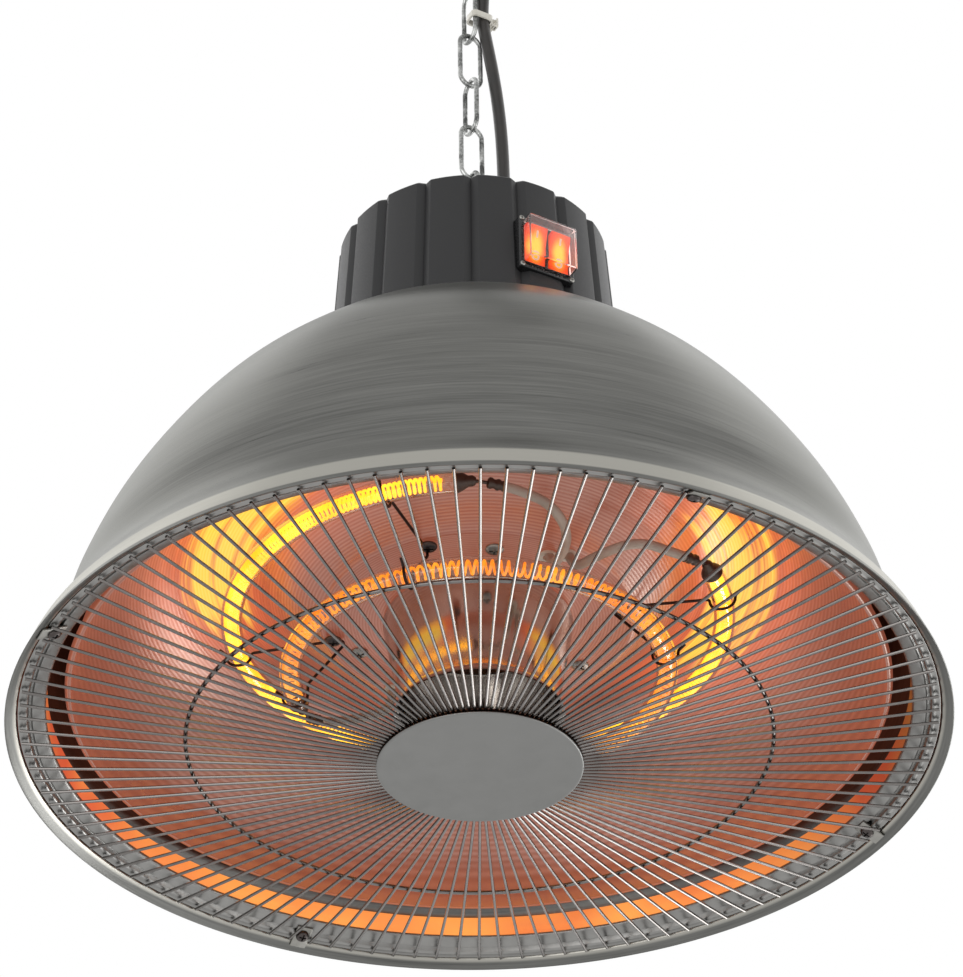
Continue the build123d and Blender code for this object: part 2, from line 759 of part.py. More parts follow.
def switch_cover():
    back = switch_front() - seat_gap
    cover = box_between((-cover_width / 2, back - cover_depth, switch_level - cover_tall / 2),
                        (cover_width / 2, back, switch_level + cover_tall / 2))
    return cover - box_between(
        (-cover_width / 2 + cover_wall, back - cover_depth + cover_wall, switch_level - cover_tall / 2 + cover_wall),
        (cover_width / 2 - cover_wall, back + overrun, switch_level + cover_tall / 2 - cover_wall))


def switch_body():
    front = switch_front() + bezel_depth + seat_gap
    body = box_between((-body_width / 2, front, switch_level - body_tall / 2),
                       (body_width / 2, front + body_depth, switch_level + body_tall / 2))
    for across in (-tab_offset, tab_offset):
        for up in (-tab_offset, tab_offset):
            body += box_between(
                (across - tab_width / 2, front, switch_level + up - tab_thickness / 2),
                (across + tab_width / 2, front + body_depth + tab_length, switch_level + up + tab_thickness / 2))
    return body


def eye_bolt():
    ring = Pos(0, 0, eye_height) * Rot(90, 0, 0) * Torus(eye_radius - eye_wire_radius, eye_wire_radius)
    bottom = bell_height - bell_wall - stem_tail
    return ring + upright(stem_radius, bottom, eye_height - eye_radius + eye_wire_radius)


def nut(flats, bottom, height, bore, place=(0, 0)):
    """A hexagon nut lying on a height."""
    body = Pos(*place, bottom) * extrude(RegularPolygon(flats / 2, 6, major_radius=False), amount=height)
    return body - upright(bore, bottom - overrun, bottom + height + overrun, place) if bore else body


def eye_nuts():
    lower = bell_height - bell_wall - seat_gap - lower_nut_height
    bore = stem_radius + pivot_gap
    return [nut(eye_nut_flats, cap_top + seat_gap / 2, eye_nut_height - seat_gap, bore),
            nut(eye_nut_flats, lower, lower_nut_height, bore)]


def cord_gland():
    """A hexagon foot and a domed nut, closed at the top by the cord."""
    place = (gland_place, 0)
    base = cap_top + seat_gap
    foot = nut(gland_flats, base, gland_nut_height, 0, place)
    waist = base + gland_nut_height
    dome = waist + gland_waist_height
    shoulder = base + gland_height - gland_dome_radius + gland_top_radius
    outline = polygon([(0, base), (gland_waist_radius, base), (gland_waist_radius, dome), (gland_dome_radius, dome),
                       (gland_dome_radius, shoulder), (gland_top_radius, base + gland_height),
                       (0, base + gland_height)])
    return foot + Pos(gland_place, 0, 0) * spun(outline)


def chain_link(index):
    """An oval link: the odd ones stand in the YZ plane, the even ones in the XZ plane."""
    bend = link_half_width - link_wire_radius
    straight = link_length / 2 - link_half_width
    top = revolve(Pos(bend, 0) * Circle(link_wire_radius), Axis.Y, -full_turn / 2)
    lower = mirror(top, about=Plane.XY)
    link = Pos(0, 0, straight) * top + Pos(0, 0, -straight) * lower
    for side in (-bend, bend):
        link += upright(link_wire_radius, -straight, straight, (side, 0))
    bottom = first_link_bottom + (index - 1) * link_pitch
    turn = 90 if index % 2 else 0
    return Pos(0, 0, bottom + link_length / 2) * Rot(0, 0, turn) * link


def hook_places():
    """The heights of the gate's pivot and of the hook's nose."""
    return hook_bottom + hook_length * gate_pivot_share, hook_bottom + hook_length * gate_nose_share


def snap_hook():
    """A bent wire in the YZ plane, open on the +Y side between the gate's pivot and the nose."""
    bend = hook_half_width - hook_wire_radius
    straight = hook_length / 2 - hook_half_width
    middle = hook_bottom + hook_length / 2
    arc = revolve(Pos(bend, 0) * Circle(hook_wire_radius), Axis.Y, -full_turn / 2)
    body = Pos(0, 0, middle + straight) * arc + Pos(0, 0, middle - straight) * mirror(arc, about=Plane.XY)
    body = Rot(0, 0, 90) * body
    pivot, nose = hook_places()
    body += upright(hook_wire_radius, middle - straight, middle + straight, (0, -bend))
    body += upright(hook_wire_radius, middle - straight, pivot, (0, bend))
    body += Pos(0, bend, pivot) * Sphere(hook_wire_radius)
    body += upright(hook_wire_radius, nose, middle + straight, (0, bend))
    return body - rod((-overrun, bend, pivot), (overrun, bend, pivot), gate_pin_radius)


def hook_gate():
    """The gate's rod with two ears that ride on the pin."""
    bend = hook_half_width - hook_wire_radius
    pivot, nose = hook_places()
    root = pivot + hook_wire_radius + running_gap
    gate = upright(gate_radius, root, nose - running_gap, (0, bend))
    inner = hook_wire_radius + running_gap
    outer = inner + gate_ear_thickness
    for side in (-1, 1):
        low, high = min(side * inner, side * outer), max(side * inner, side * outer)
        ear = box_between((low, bend - gate_ear_half_width, pivot),
                          (high, bend + gate_ear_half_width, root + gate_ear_rise))
        ear += rod((low, bend, pivot), (high, bend, pivot), gate_ear_half_width)
        gate += ear
    gate += box_between((-outer, bend - gate_ear_half_width / 2, root + gate_ear_rise / 2),
                        (outer, bend + gate_ear_half_width / 2, root + gate_ear_rise))
    reach = outer + overrun
    return gate - rod((-reach, bend, pivot), (reach, bend, pivot), gate_pin_radius + pivot_gap)


def gate_pin():
    bend = hook_half_width - hook_wire_radius
    pivot, _ = hook_places()
    half = hook_wire_radius + running_gap + gate_ear_thickness + running_gap
    return rod((-half, bend, pivot), (half, bend, pivot), gate_pin_radius)


cord_exit = cap_top + seat_gap + gland_height
cord_route = [(gland_place, 0, cord_exit), (gland_place, 0, 320), (18.4, -0.5, 343), (17.0, -1.8, 368), (14.2, -3.4, 390),
              (10.6, -4.7, 410), (7.3, -5.0, 428), (5.3, -3.9, 444.5), (5.2, -5.6, 461), (5.0, -8.6, 478),
              (coil_first_layer, coil_inner_edge, 495),
              (coil_first_layer, coil_inner_edge, coil_start_height - 2 * cord_radius)]


def coil_stations():
    """The coil's place and direction at each half turn: in on the first layer, out on the second."""
    middle_y, middle_z = coil_inner_edge - coil_outer_radius, coil_start_height
    stations = []
    for index in range(int(2 * coil_turns) + 1):
        turns = index / 2
        radius = coil_outer_radius - coil_pitch * min(turns, coil_turns - turns)
        layer = coil_first_layer + (coil_layer_step if turns > coil_turns / 2 else 0)
        side = 1 if index % 2 == 0 else -1
        stations.append((Vector(layer, middle_y + side * radius, middle_z), Vector(0, 0, side)))
    return stations


def coil_path():
    """Half circles from station to station, with a straight end of one diameter at each end."""
    stations = coil_stations()
    first, last = stations[0], stations[-1]
    straight = 2 * cord_radius
    edges = [Line(first[0] - first[1] * straight, first[0])]
    for (here, leaving), (there, _) in zip(stations, stations[1:]):
        top = (here + there) * 0.5 + leaving * ((there - here).length / 2)
        edges.append(ThreePointArc(here, top, there))
    edges.append(Line(last[0], last[0] + last[1] * straight))
    return edges


def least_self_gap(edges):
    """The least gap between points of the coil that lie more than half a turn apart."""
    places = []
    run = 0.0
    for edge in edges:
        steps = gap_samples if edge.geom_type == GeomType.CIRCLE else 2
        places += [(edge @ (step / steps), run + edge.length * step / steps) for step in range(steps)]
        run += edge.length
    apart = math.pi * coil_outer_radius / 2
    distances = [(here - there).length for index, (here, along) in enumerate(places)
                 for there, beyond in places[index + 1:] if beyond - along > apart]
    return min(distances) - 2 * cord_radius


def cord_coil():
    edges = coil_path()
    path = Wire(edges)
    section = Plane(origin=path @ 0, z_dir=path % 0) * Circle(cord_radius)
    coil = sweep(section, path=path)
    print("coil: length", round(path.length), "least gap to itself", round(least_self_gap(edges), 2),
          "volume over section times length", round(coil.volume / (path.length * math.pi * cord_radius ** 2), 4))
    return coil


def tail_route():
    place, direction = coil_stations()[-1]
    start = place + direction * 2 * cord_radius
    steps = [(0, 0, 0), (0, 0, -13), (0.5, 1.8, -28), (1.2, 3.4, -41)]
    return [start + Vector(*step) for step in steps]


def free_cord(name, points):
    """A free stretch of cord: straight runs joined by the largest arcs that they take."""
    radii = corner_radii(points)
    tube = bent_rod(points, cord_radius)
    path = FilletPolyline(*points, radius=radii)
    print(name, "length", round(path.length), "radii", [round(radius) for radius in radii],
          "volume over section times length", round(tube.volume / (path.length * math.pi * cord_radius ** 2), 4))
    return tube


def plug_plane():
    """The plug's place: at the tail's end, along its last run."""
    route = tail_route()
    return Plane(origin=route[-1], z_dir=route[-1] - route[-2])


def plug():
    grip = plug_neck_length + plug_grip_length
    end = grip + plug_body_length
    outline = polygon([(0, 0), (plug_neck_radius, 0), (plug_neck_radius + plug_edge, plug_neck_length),
                       (plug_grip_radius, plug_neck_length + plug_edge), (plug_grip_radius + plug_edge, grip),
                       (plug_body_radius - plug_edge, grip + plug_edge), (plug_body_radius, grip + 2 * plug_edge),
                       (plug_body_radius, end - plug_edge), (plug_body_radius - plug_edge, end), (0, end)])
    return plug_plane() * spun(outline)


def plug_pins():
    seat = plug_neck_length + plug_grip_length + plug_body_length
    pin = upright(plug_pin_radius, seat, seat + plug_pin_length, (plug_pin_offset, 0))
    return [plug_plane() * pin, plug_plane() * (Rot(0, 0, full_turn / 2) * pin)]


def cable_tie(low, high, height, head_side):
    """A band round a box of places, with its lock block on one side."""
    width, depth = high[0] - low[0], high[1] - low[1]
    middle = ((low[0] + high[0]) / 2, (low[1] + high[1]) / 2)
    corner = link_wire_radius + tie_gap
    band = RectangleRounded(width + 2 * tie_wall, depth + 2 * tie_wall, corner + tie_wall)
    band -= RectangleRounded(width, depth, corner)
    tie = Pos(*middle, height - tie_width / 2) * extrude(band, amount=tie_width)
    across = middle[0] + head_side * (width / 2 + tie_wall + tie_head / 2 - seat_gap)
    head = Pos(across, middle[1], height) * Box(tie_head, tie_head, tie_width + tie_wall)
    return tie + head


def cable_tie_lower():
    place = Vector(*cord_route[7])
    strand = link_half_width
    low = (-link_wire_radius - tie_gap, -strand - tie_gap)
    high = (place.X + cord_radius + 2 * tie_gap, place.Y + cord_radius + 2 * tie_gap)
    return cable_tie(low, high, place.Z, 1)


def cable_tie_upper():
    low = (-link_wire_radius - tie_gap, coil_inner_edge - (coil_turns / 2) * coil_pitch - cord_radius - 2 * tie_gap)
    high = (coil_first_layer + coil_layer_step + cord_radius + tie_gap, -link_half_width + 2 * link_wire_radius + tie_gap)
    return cable_tie(low, high, coil_start_height - tie_width / 2, 1)


def lamp_tube(radius, height, start, sweep_angle):
    return ring_arc(radius, height, tube_radius, start, sweep_angle, tube_radius - tube_wall)


def filament(radius, height, start, sweep_angle):
    return ring_arc(radius, height, filament_radius, start + filament_margin, sweep_angle - 2 * filament_margin)


def pieces():
    """Every node's name and its solids."""
    nodes = {"snap_hook": snap_hook(), "hook_gate": hook_gate(), "gate_pin": gate_pin()}
    for index in range(1, link_count + 1):
        nodes[f"chain_link_{index}"] = chain_link(index)
    nodes |= {"eye_bolt": eye_bolt(), "eye_nuts": eye_nuts(), "cap": cap(), "cap_base_plate": cap_base_plate(),
              "cap_screws": cap_screws(), "terminal_block": terminal_block(), "cord_gland": cord_gland()}
    nodes |= {"switch_bezel": switch_bezel(), "switch_body": switch_body(), "switch_cover": switch_cover(),
              "rocker_left": rocker(-1), "rocker_right": rocker(1)}
    nodes |= {"power_cord": free_cord("power_cord", cord_route), "cord_coil": cord_coil(),
              "cord_tail": free_cord("cord_tail", tail_route()), "plug": plug(), "plug_pins": plug_pins(),
              "cable_tie_lower": cable_tie_lower(), "cable_tie_upper": cable_tie_upper()}
    bell_shell, bell_top = bell()
    nodes |= {"bell": bell_shell, "bell_top": bell_top, "reflector": reflector(),
              "reflector_hangers": reflector_hangers(), "centre_cup": centre_cup(), "cup_screw": cup_screw()}
    nodes |= {"outer_lamp_tube": lamp_tube(*outer_lamp), "outer_filament": filament(*outer_lamp),
              "outer_lamp_ends": [lamp_end("outer_left"), lamp_end("outer_right")],
              "inner_lamp_tube": lamp_tube(*inner_lamp), "inner_filament": filament(*inner_lamp),
              "inner_lamp_ends": [lamp_end("inner_left"), lamp_end("inner_right")]}
    for lamp in ("outer", "inner"):
        nodes[f"{lamp}_lamp_sleeves"] = [lamp_sleeve(f"{lamp}_left"), lamp_sleeve(f"{lamp}_right")]
    nodes["sleeve_bushings"] = sleeve_bushings()
    for index, azimuth in enumerate(bracket_azimuths, 1):
        nodes[f"lamp_bracket_{index}"] = lamp_bracket(azimuth)
    nodes |= {"bracket_screws": bracket_screws(), "guard_spokes": guard_spokes(), "guard_mid_ring": guard_mid_ring(),
              "guard_frame_ring": guard_frame_ring(), "hub_plate": hub_plate(), "hub_back_plate": hub_back_plate(),
              "guard_clips": guard_clips(), "guard_clip_screws": guard_clip_screws()}
    return nodes


def write(name, shape):
    """Lower a piece into the frame and save it."""
    solids = shape if isinstance(shape, list) else [shape]
    lowered = [Pos(0, 0, -hang_height) * solid for solid in solids]
    export_step(Compound(children=lowered) if len(lowered) > 1 else lowered[0], f"parts/{name}.step")


os.makedirs("parts", exist_ok=True)
for node, solid in pieces().items():
    write(node, solid)
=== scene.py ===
import bpy
import bmesh
import math
from mathutils import Matrix, Vector
from mathutils.geometry import interpolate_bezier


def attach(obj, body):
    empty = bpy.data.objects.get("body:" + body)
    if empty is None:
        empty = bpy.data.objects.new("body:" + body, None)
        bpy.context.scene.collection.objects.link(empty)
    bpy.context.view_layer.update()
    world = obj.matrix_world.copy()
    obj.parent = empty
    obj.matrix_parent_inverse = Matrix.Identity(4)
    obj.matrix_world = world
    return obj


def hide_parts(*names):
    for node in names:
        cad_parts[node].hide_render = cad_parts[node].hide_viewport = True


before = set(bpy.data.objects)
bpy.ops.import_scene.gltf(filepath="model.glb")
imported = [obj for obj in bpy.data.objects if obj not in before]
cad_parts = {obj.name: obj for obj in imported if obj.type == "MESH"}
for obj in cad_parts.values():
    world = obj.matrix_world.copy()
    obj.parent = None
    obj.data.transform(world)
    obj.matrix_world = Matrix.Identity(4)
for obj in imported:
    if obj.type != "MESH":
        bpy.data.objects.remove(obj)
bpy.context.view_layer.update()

# Lengths are in millimetres and height 0 is the plane of the bell's rim. piece() puts a mesh into the frame, whose
# origin is the hanging point. An azimuth is measured in degrees from -Y, the switch's side, towards +X.
mm = 0.001
hang_height = 674.3
into_frame = Matrix.Translation((0, 0, -hang_height * mm)) @ Matrix.Scale(mm, 4)
scene = bpy.context.scene


def polar(azimuth, radius, height=0.0):
    """A place at an azimuth and radius from the axis."""
    angle = math.radians(azimuth)
    return Vector((radius * math.sin(angle), -radius * math.cos(angle), height))


def circled(radius, angles, across=0.0, up=0.0):
    """Places in a plane at a radius round a centre, at angles in degrees."""
    return [(across + radius * math.cos(math.radians(angle)), up + radius * math.sin(math.radians(angle)))
            for angle in angles]


def linear(colour):
    """An sRGB hex colour as linear red, green, blue and alpha."""
    values = [int(colour[start:start + 2], 16) / 255 for start in (1, 3, 5)]
    return [value / 12.92 if value <= 0.04045 else ((value + 0.055) / 1.055) ** 2.4 for value in values] + [1.0]


def feed(node, values):
    """Sets a node's inputs to values, or links them to outputs; a node stands for its first output in use."""
    for key, value in values.items():
        if isinstance(value, bpy.types.Node):
            value = next(output for output in value.outputs if output.enabled)
        if isinstance(value, bpy.types.NodeSocket):
            node.id_data.links.new(value, node.inputs[key])
        else:
            node.inputs[key].default_value = value


def add(tree, kind, values=None, **settings):
    """A node with its settings, and its inputs set or linked."""
    node = tree.nodes.new(kind)
    for name, setting in settings.items():
        setattr(node, name, setting)
    feed(node, values or {})
    return node


# Camera: the photograph's viewpoint, 1.56 m off, 32 degrees below the rim and left of the switch
def set_camera():
    distance, elevation, azimuth, roll = 1563.45, math.radians(-31.94), -29.5, -0.015
    spot = polar(azimuth, distance * math.cos(elevation), distance * math.sin(elevation))
    target = Vector((2.18, -1.23, 140.8))
    ahead = (target - spot).normalized()
    level = ahead.cross(Vector((0, 0, 1))).normalized()
    upright = level.cross(ahead)
    right = math.cos(roll) * level + math.sin(roll) * upright
    up = math.cos(roll) * upright - math.sin(roll) * level
    data = bpy.data.cameras.new("photo_camera")
    data.lens = 127.63
    data.sensor_width = 36.0
    data.clip_start, data.clip_end = 0.05, 50.0
    camera = bpy.data.objects.new("photo_camera", data)
    camera.matrix_world = (Matrix.Translation(into_frame @ spot)
                           @ Matrix((right, up, -ahead)).transposed().to_4x4())
    scene.collection.objects.link(camera)
    scene.camera = camera


set_camera()

# Cord: from the gland up the chain, the put-away coil, and the tail to the plug
cord_radius = 3.25
gland_place, cord_exit = 18.7, 300.0
cord_route = [(gland_place, 0, cord_exit), (gland_place, 0, 320), (18.4, -0.5, 343), (17.0, -1.8, 368),
              (14.2, -3.4, 390), (10.6, -4.7, 410), (7.3, -5.0, 428), (5.3, -3.9, 444.5), (5.2, -5.6, 461),
              (5.0, -8.6, 478), (4.2, -11.2, 495), (4.2, -11.2, 511.5)]
coil_outer_radius, coil_turns = 49.5, 6.5
coil_pitch, coil_layer_step, coil_first_layer = 8.4, 7.2, 4.2
coil_middle = (-60.7, 518.0)
tail_route = [(11.4, -110.2, 511.5), (11.4, -110.2, 498.5), (11.9, -108.4, 483.5), (12.6, -106.8, 470.5)]


def coil_reach(half):
    """The coil's radius and layer after so many half turns: in on the first layer, out on the second."""
    turns = half / 2
    radius = coil_outer_radius - coil_pitch * min(turns, coil_turns - turns)
    return radius, coil_first_layer + (coil_layer_step if turns > coil_turns / 2 else 0)


def coil_turned(steps=12):
    """The coil's turns, with so many points to each half turn."""
    middle_y, middle_z = coil_middle
    places = []
    for half in range(int(2 * coil_turns)):
        (radius, layer), (next_radius, next_layer) = coil_reach(half), coil_reach(half + 1)
        side = 1 if half % 2 == 0 else -1
        centre, mean = side * (radius - next_radius) / 2, (radius + next_radius) / 2
        grown_radius = mean / math.cos(math.pi / steps / 2)  # the curve cuts its points' corners
        for step in range(steps):
            share = (step + 0.5) / steps
            angle = math.pi * (half + share)
            places.append((layer + (next_layer - layer) * share, middle_y + centre + grown_radius * math.cos(angle),
                           middle_z + grown_radius * math.sin(angle)))
    return places


def round_line(name, places, radius, rim_steps, line_steps):
    """A round cord along one smooth curve."""
    curve = bpy.data.curves.new(name, "CURVE")
    curve.dimensions = "3D"
    curve.bevel_depth = radius
    curve.bevel_resolution = rim_steps
    curve.resolution_u = line_steps
    curve.use_fill_caps = True
    line = curve.splines.new("NURBS")
    line.points.add(len(places) - 1)
    for point, place in zip(line.points, places):
        point.co = (*place, 1)
    line.order_u = 3
    line.use_endpoint_u = True
    made = bpy.data.objects.new(name, curve)
    scene.collection.objects.link(made)
    return made


cord = round_line("cord", [into_frame @ Vector(place) for place in cord_route + coil_turned() + tail_route],
                  cord_radius * mm, 4, 6)


# Materials
def surface(name, **values):
    """A material, its tree, its shader with its plain values set, the place that patterns read, and its output."""
    made = bpy.data.materials.new(name)
    made.use_nodes = True
    tree = made.node_tree
    tree.nodes.clear()
    shader = add(tree, "ShaderNodeBsdfPrincipled", {key.replace("_", " "): value for key, value in values.items()})
    output = add(tree, "ShaderNodeOutputMaterial", {"Surface": shader})
    return made, tree, shader, add(tree, "ShaderNodeTexCoord").outputs["Object"], output


def level_in_frame(height):
    """A height over the rim as the frame's Z."""
    return (height - hang_height) * mm


def spun_aluminium():
    # Spun aluminium brushed round the axis: fine level streaks, softer tool bands and a polished rim whose lighter
    # tone is partly a painted reflection
    made, tree, shader, place, _ = surface("spun_aluminium", Metallic=1.0, Anisotropic=0.55,
                                           Specular_Tint=linear("#DCDCDA"))
    fine = add(tree, "ShaderNodeTexNoise", {  # brush streaks 1.3 mm apart
        "Vector": add(tree, "ShaderNodeMapping", {"Vector": place, "Scale": (13, 13, 760)}), "Scale": 1.0,
        "Detail": 5.0, "Roughness": 0.75})
    broad = add(tree, "ShaderNodeTexNoise", {  # pressure bands of the spinning tool, 12 mm apart
        "Vector": add(tree, "ShaderNodeMapping", {"Vector": place, "Scale": (7, 7, 80)}), "Scale": 1.0,
        "Detail": 3.0, "Roughness": 0.6})
    streaks = add(tree, "ShaderNodeMix", {0: 0.3, 2: fine, 3: broad}, data_type="FLOAT")
    tone = add(tree, "ShaderNodeMapRange", {"Value": streaks, "From Min": 0.34, "From Max": 0.66})
    wall = add(tree, "ShaderNodeMix", {0: tone, 6: linear("#575755"), 7: linear("#797976")}, data_type="RGBA")
    level = add(tree, "ShaderNodeSeparateXYZ", {0: place}).outputs["Z"]
    below, above = [add(tree, "ShaderNodeMapRange", {"Value": level, "From Min": level_in_frame(start),
                                                     "From Max": level_in_frame(end)})
                    for start, end in ((10.2, 8.8), (0.2, 1.0))]  # the polished rim's two edges
    rim = add(tree, "ShaderNodeMath", {0: below, 1: above}, operation="MULTIPLY")
    # The rim's lighter tone: a polished lip, and partly a painted reflection
    feed(shader, {
        "Base Color": add(tree, "ShaderNodeMix", {0: rim, 6: wall, 7: linear("#A2A099")}, data_type="RGBA"),
        "Roughness": add(tree, "ShaderNodeMapRange", {"Value": streaks, "From Min": 0.34, "From Max": 0.66,
                                                      "To Min": 0.27, "To Max": 0.38}),
        "Normal": add(tree, "ShaderNodeBump", {"Strength": 0.4, "Distance": 0.0001, "Height": fine}),
        "Tangent": add(tree, "ShaderNodeTangent", direction_type="RADIAL", axis="Z")})
    return made


def lathed_aluminium():
    # Anodised reflector aluminium, lathe-turned: concentric grooves that break the lamps' light into arcs
    made, tree, shader, place, _ = surface("lathed_aluminium", Metallic=1.0, Anisotropic=0.5, Emission_Strength=1.0)
    grooves = add(tree, "ShaderNodeTexWave", {  # the tool's grooves, 1.4 mm apart
        "Vector": place, "Scale": 224.0, "Distortion": 0.6, "Detail": 2.0, "Detail Scale": 0.3},
        wave_type="RINGS", rings_direction="Z").outputs["Fac"]
    flat = add(tree, "ShaderNodeVectorMath", {0: place, 1: (1, 1, 0)}, operation="MULTIPLY")
    radius = add(tree, "ShaderNodeVectorMath", {0: flat}, operation="LENGTH")
    turned = add(tree, "ShaderNodeMath", {0: radius, 1: 330.0}, operation="MULTIPLY")
    split = add(tree, "ShaderNodeSeparateXYZ", {
        0: add(tree, "ShaderNodeVectorMath", {0: flat, 3: 6.0}, operation="SCALE")}).outputs
    rings = add(tree, "ShaderNodeCombineXYZ", {0: split["X"], 1: split["Y"], 2: turned})
    uneven = add(tree, "ShaderNodeTexNoise", {  # deeper and shallower passes, 3 mm apart
        "Vector": rings, "Scale": 1.0, "Detail": 3.0, "Roughness": 0.6})
    cut = add(tree, "ShaderNodeMath", {0: grooves, 1: uneven}, operation="MULTIPLY")
    # Painted light: the lamps' bounced light, which fills the whole bowl, is painted on as an emission, and so is the
    # glare of two places that throw both lamps' light back together
    painted_glare_azimuths, painted_glare_radius = (-102, 64), 122
    drift = add(tree, "ShaderNodeTexNoise", {"Vector": place, "Scale": 9.0, "Detail": 1.0})
    painted_bounce_light = add(tree, "ShaderNodeMix", {0: drift, 6: linear("#6A3628"), 7: linear("#9A5440")}, data_type="RGBA")
    heading = add(tree, "ShaderNodeVectorMath", {0: flat}, operation="NORMALIZE")
    left, right = [add(tree, "ShaderNodeVectorMath", {0: heading, 1: polar(azimuth, 1)}, operation="DOT_PRODUCT")
                   for azimuth in painted_glare_azimuths]
    nearer = add(tree, "ShaderNodeMath", {0: left, 1: right}, operation="MAXIMUM")
    aside = add(tree, "ShaderNodeMath", {
        0: add(tree, "ShaderNodeMath", {0: radius, 1: painted_glare_radius * mm}, operation="SUBTRACT")}, operation="ABSOLUTE")
    lobes, close = [add(tree, "ShaderNodeMapRange", {"Value": value, "From Min": low, "From Max": high},
                        interpolation_type="SMOOTHSTEP")
                    for value, low, high in ((nearer, 0.55, 0.95), (aside, 0.046, 0.002))]
    painted_glare_patches = add(tree, "ShaderNodeMapRange", {"Value": uneven, "From Min": 0.3, "From Max": 0.7, "To Min": 0.6,
                                              "To Max": 1.0})
    lit = add(tree, "ShaderNodeMath", {0: lobes, 1: close}, operation="MULTIPLY")
    painted_glare_bands = add(tree, "ShaderNodeMath", {0: lit, 1: painted_glare_patches}, operation="MULTIPLY")
    # Painted glare: orange over the painted bounce light, yellow at its core
    orange = add(tree, "ShaderNodeMix", {0: painted_glare_bands, 6: painted_bounce_light, 7: linear("#F86C36")}, data_type="RGBA")
    painted_glare_core = add(tree, "ShaderNodeMapRange", {"Value": painted_glare_bands, "From Min": 0.55, "From Max": 0.85},
                  interpolation_type="SMOOTHSTEP")
    feed(shader, {
        "Base Color": add(tree, "ShaderNodeMix", {0: cut, 6: linear("#645C56"), 7: linear("#9A918A")},
                          data_type="RGBA"),
        "Roughness": add(tree, "ShaderNodeMapRange", {"Value": uneven, "From Min": 0.3, "From Max": 0.7,
                                                      "To Min": 0.26, "To Max": 0.40}),
        "Normal": add(tree, "ShaderNodeBump", {"Strength": 0.5, "Distance": 0.00012, "Height": cut}),
        "Tangent": add(tree, "ShaderNodeTangent", direction_type="RADIAL", axis="Z"),
        "Emission Color": add(tree, "ShaderNodeMix", {0: painted_glare_core, 6: orange, 7: linear("#FFD044")},
                              data_type="RGBA")})
    return made


def polished_steel(name, dark, light, low, high):
    # Bright-polished stainless sheet and wire: clear reflections with faint buffing haze
    made, tree, shader, place, _ = surface(name, Metallic=1.0)
    haze = add(tree, "ShaderNodeTexNoise", {"Vector": place, "Scale": 90.0, "Detail": 5.0, "Roughness": 0.6})
    feed(shader, {"Base Color": add(tree, "ShaderNodeMix", {0: haze, 6: linear(dark), 7: linear(light)},
                                    data_type="RGBA"),
                  "Roughness": add(tree, "ShaderNodeMapRange", {"Value": haze, "From Min": 0.3, "From Max": 0.7,
                                                                "To Min": low, "To Max": high})})
    return made


def painted_lamp_light_steel():
    # Polished steel band facing the lamps, so close that it is lit orange; this orange light is painted on as an
    # emission, dimmer beside the lamps' wired ends
    made, tree, shader, place, _ = surface("painted_lamp_light_steel", Metallic=1.0, Base_Color=linear("#8A7A70"),
                                           Roughness=0.3)
    wired_ends = polar(170, 1)
    drift = add(tree, "ShaderNodeTexNoise", {"Vector": place, "Scale": 14.0, "Detail": 2.0})
    heat = add(tree, "ShaderNodeMapRange", {"Value": drift, "From Min": 0.35, "From Max": 0.65})
    flat = add(tree, "ShaderNodeVectorMath", {0: place, 1: (1, 1, 0)}, operation="MULTIPLY")
    heading = add(tree, "ShaderNodeVectorMath", {0: flat}, operation="NORMALIZE")
    away = add(tree, "ShaderNodeVectorMath", {0: heading, 1: wired_ends}, operation="DOT_PRODUCT")
    # Painted light: the emission's colour and strength stand in for the lamps' light on the band
    feed(shader, {"Emission Color": add(tree, "ShaderNodeMix", {0: heat, 6: linear("#D85A38"), 7: linear("#FFA04E")},
                                        data_type="RGBA"),
                  "Emission Strength": add(tree, "ShaderNodeMapRange", {"Value": away, "From Min": -0.5,
                                                                        "From Max": 0.6, "To Min": 0.12,
                                                                        "To Max": 1.0})})
    return made


def galvanised_steel():
    # Electro-galvanised wire: blue-grey zinc with fine frosty spots and rubbed brighter patches
    made, tree, shader, place, _ = surface("galvanised_steel", Metallic=1.0)
    frost = add(tree, "ShaderNodeTexNoise", {"Vector": place, "Scale": 700.0, "Detail": 4.0, "Roughness": 0.7})
    patch = add(tree, "ShaderNodeTexNoise", {"Vector": place, "Scale": 90.0, "Detail": 2.0})
    both = add(tree, "ShaderNodeMath", {0: frost, 1: patch}, operation="ADD")
    tone = add(tree, "ShaderNodeMapRange", {"Value": both, "From Min": 0.8, "From Max": 1.2})
    feed(shader, {"Base Color": add(tree, "ShaderNodeMix", {0: tone, 6: linear("#525352"), 7: linear("#BCBDBB")},
                                    data_type="RGBA"),
                  "Roughness": add(tree, "ShaderNodeMapRange", {"Value": tone, "To Min": 0.5, "To Max": 0.28}),
                  "Normal": add(tree, "ShaderNodeBump", {"Strength": 0.4, "Distance": 0.0001, "Height": frost})})
    return made


def plain_finish(name, dark, light, grain, depth, low, high, metallic=0.0, sheen=0.5):
    # One of the plain finishes: a moulded or plated surface whose grain varies its tone, gloss and height
    made, tree, shader, place, _ = surface(name, Metallic=metallic, Specular_IOR_Level=sheen)
    skin = add(tree, "ShaderNodeTexNoise", {"Vector": place, "Scale": 1000.0 / grain, "Detail": 4.0,
                                            "Roughness": 0.6})
    feed(shader, {"Base Color": add(tree, "ShaderNodeMix", {0: skin, 6: linear(dark), 7: linear(light)},
                                    data_type="RGBA"),
                  "Roughness": add(tree, "ShaderNodeMapRange", {"Value": skin, "From Min": 0.3, "From Max": 0.7,
                                                                "To Min": low, "To Max": high}),
                  "Normal": add(tree, "ShaderNodeBump", {"Strength": 0.5, "Distance": depth * mm, "Height": skin})})
    return made


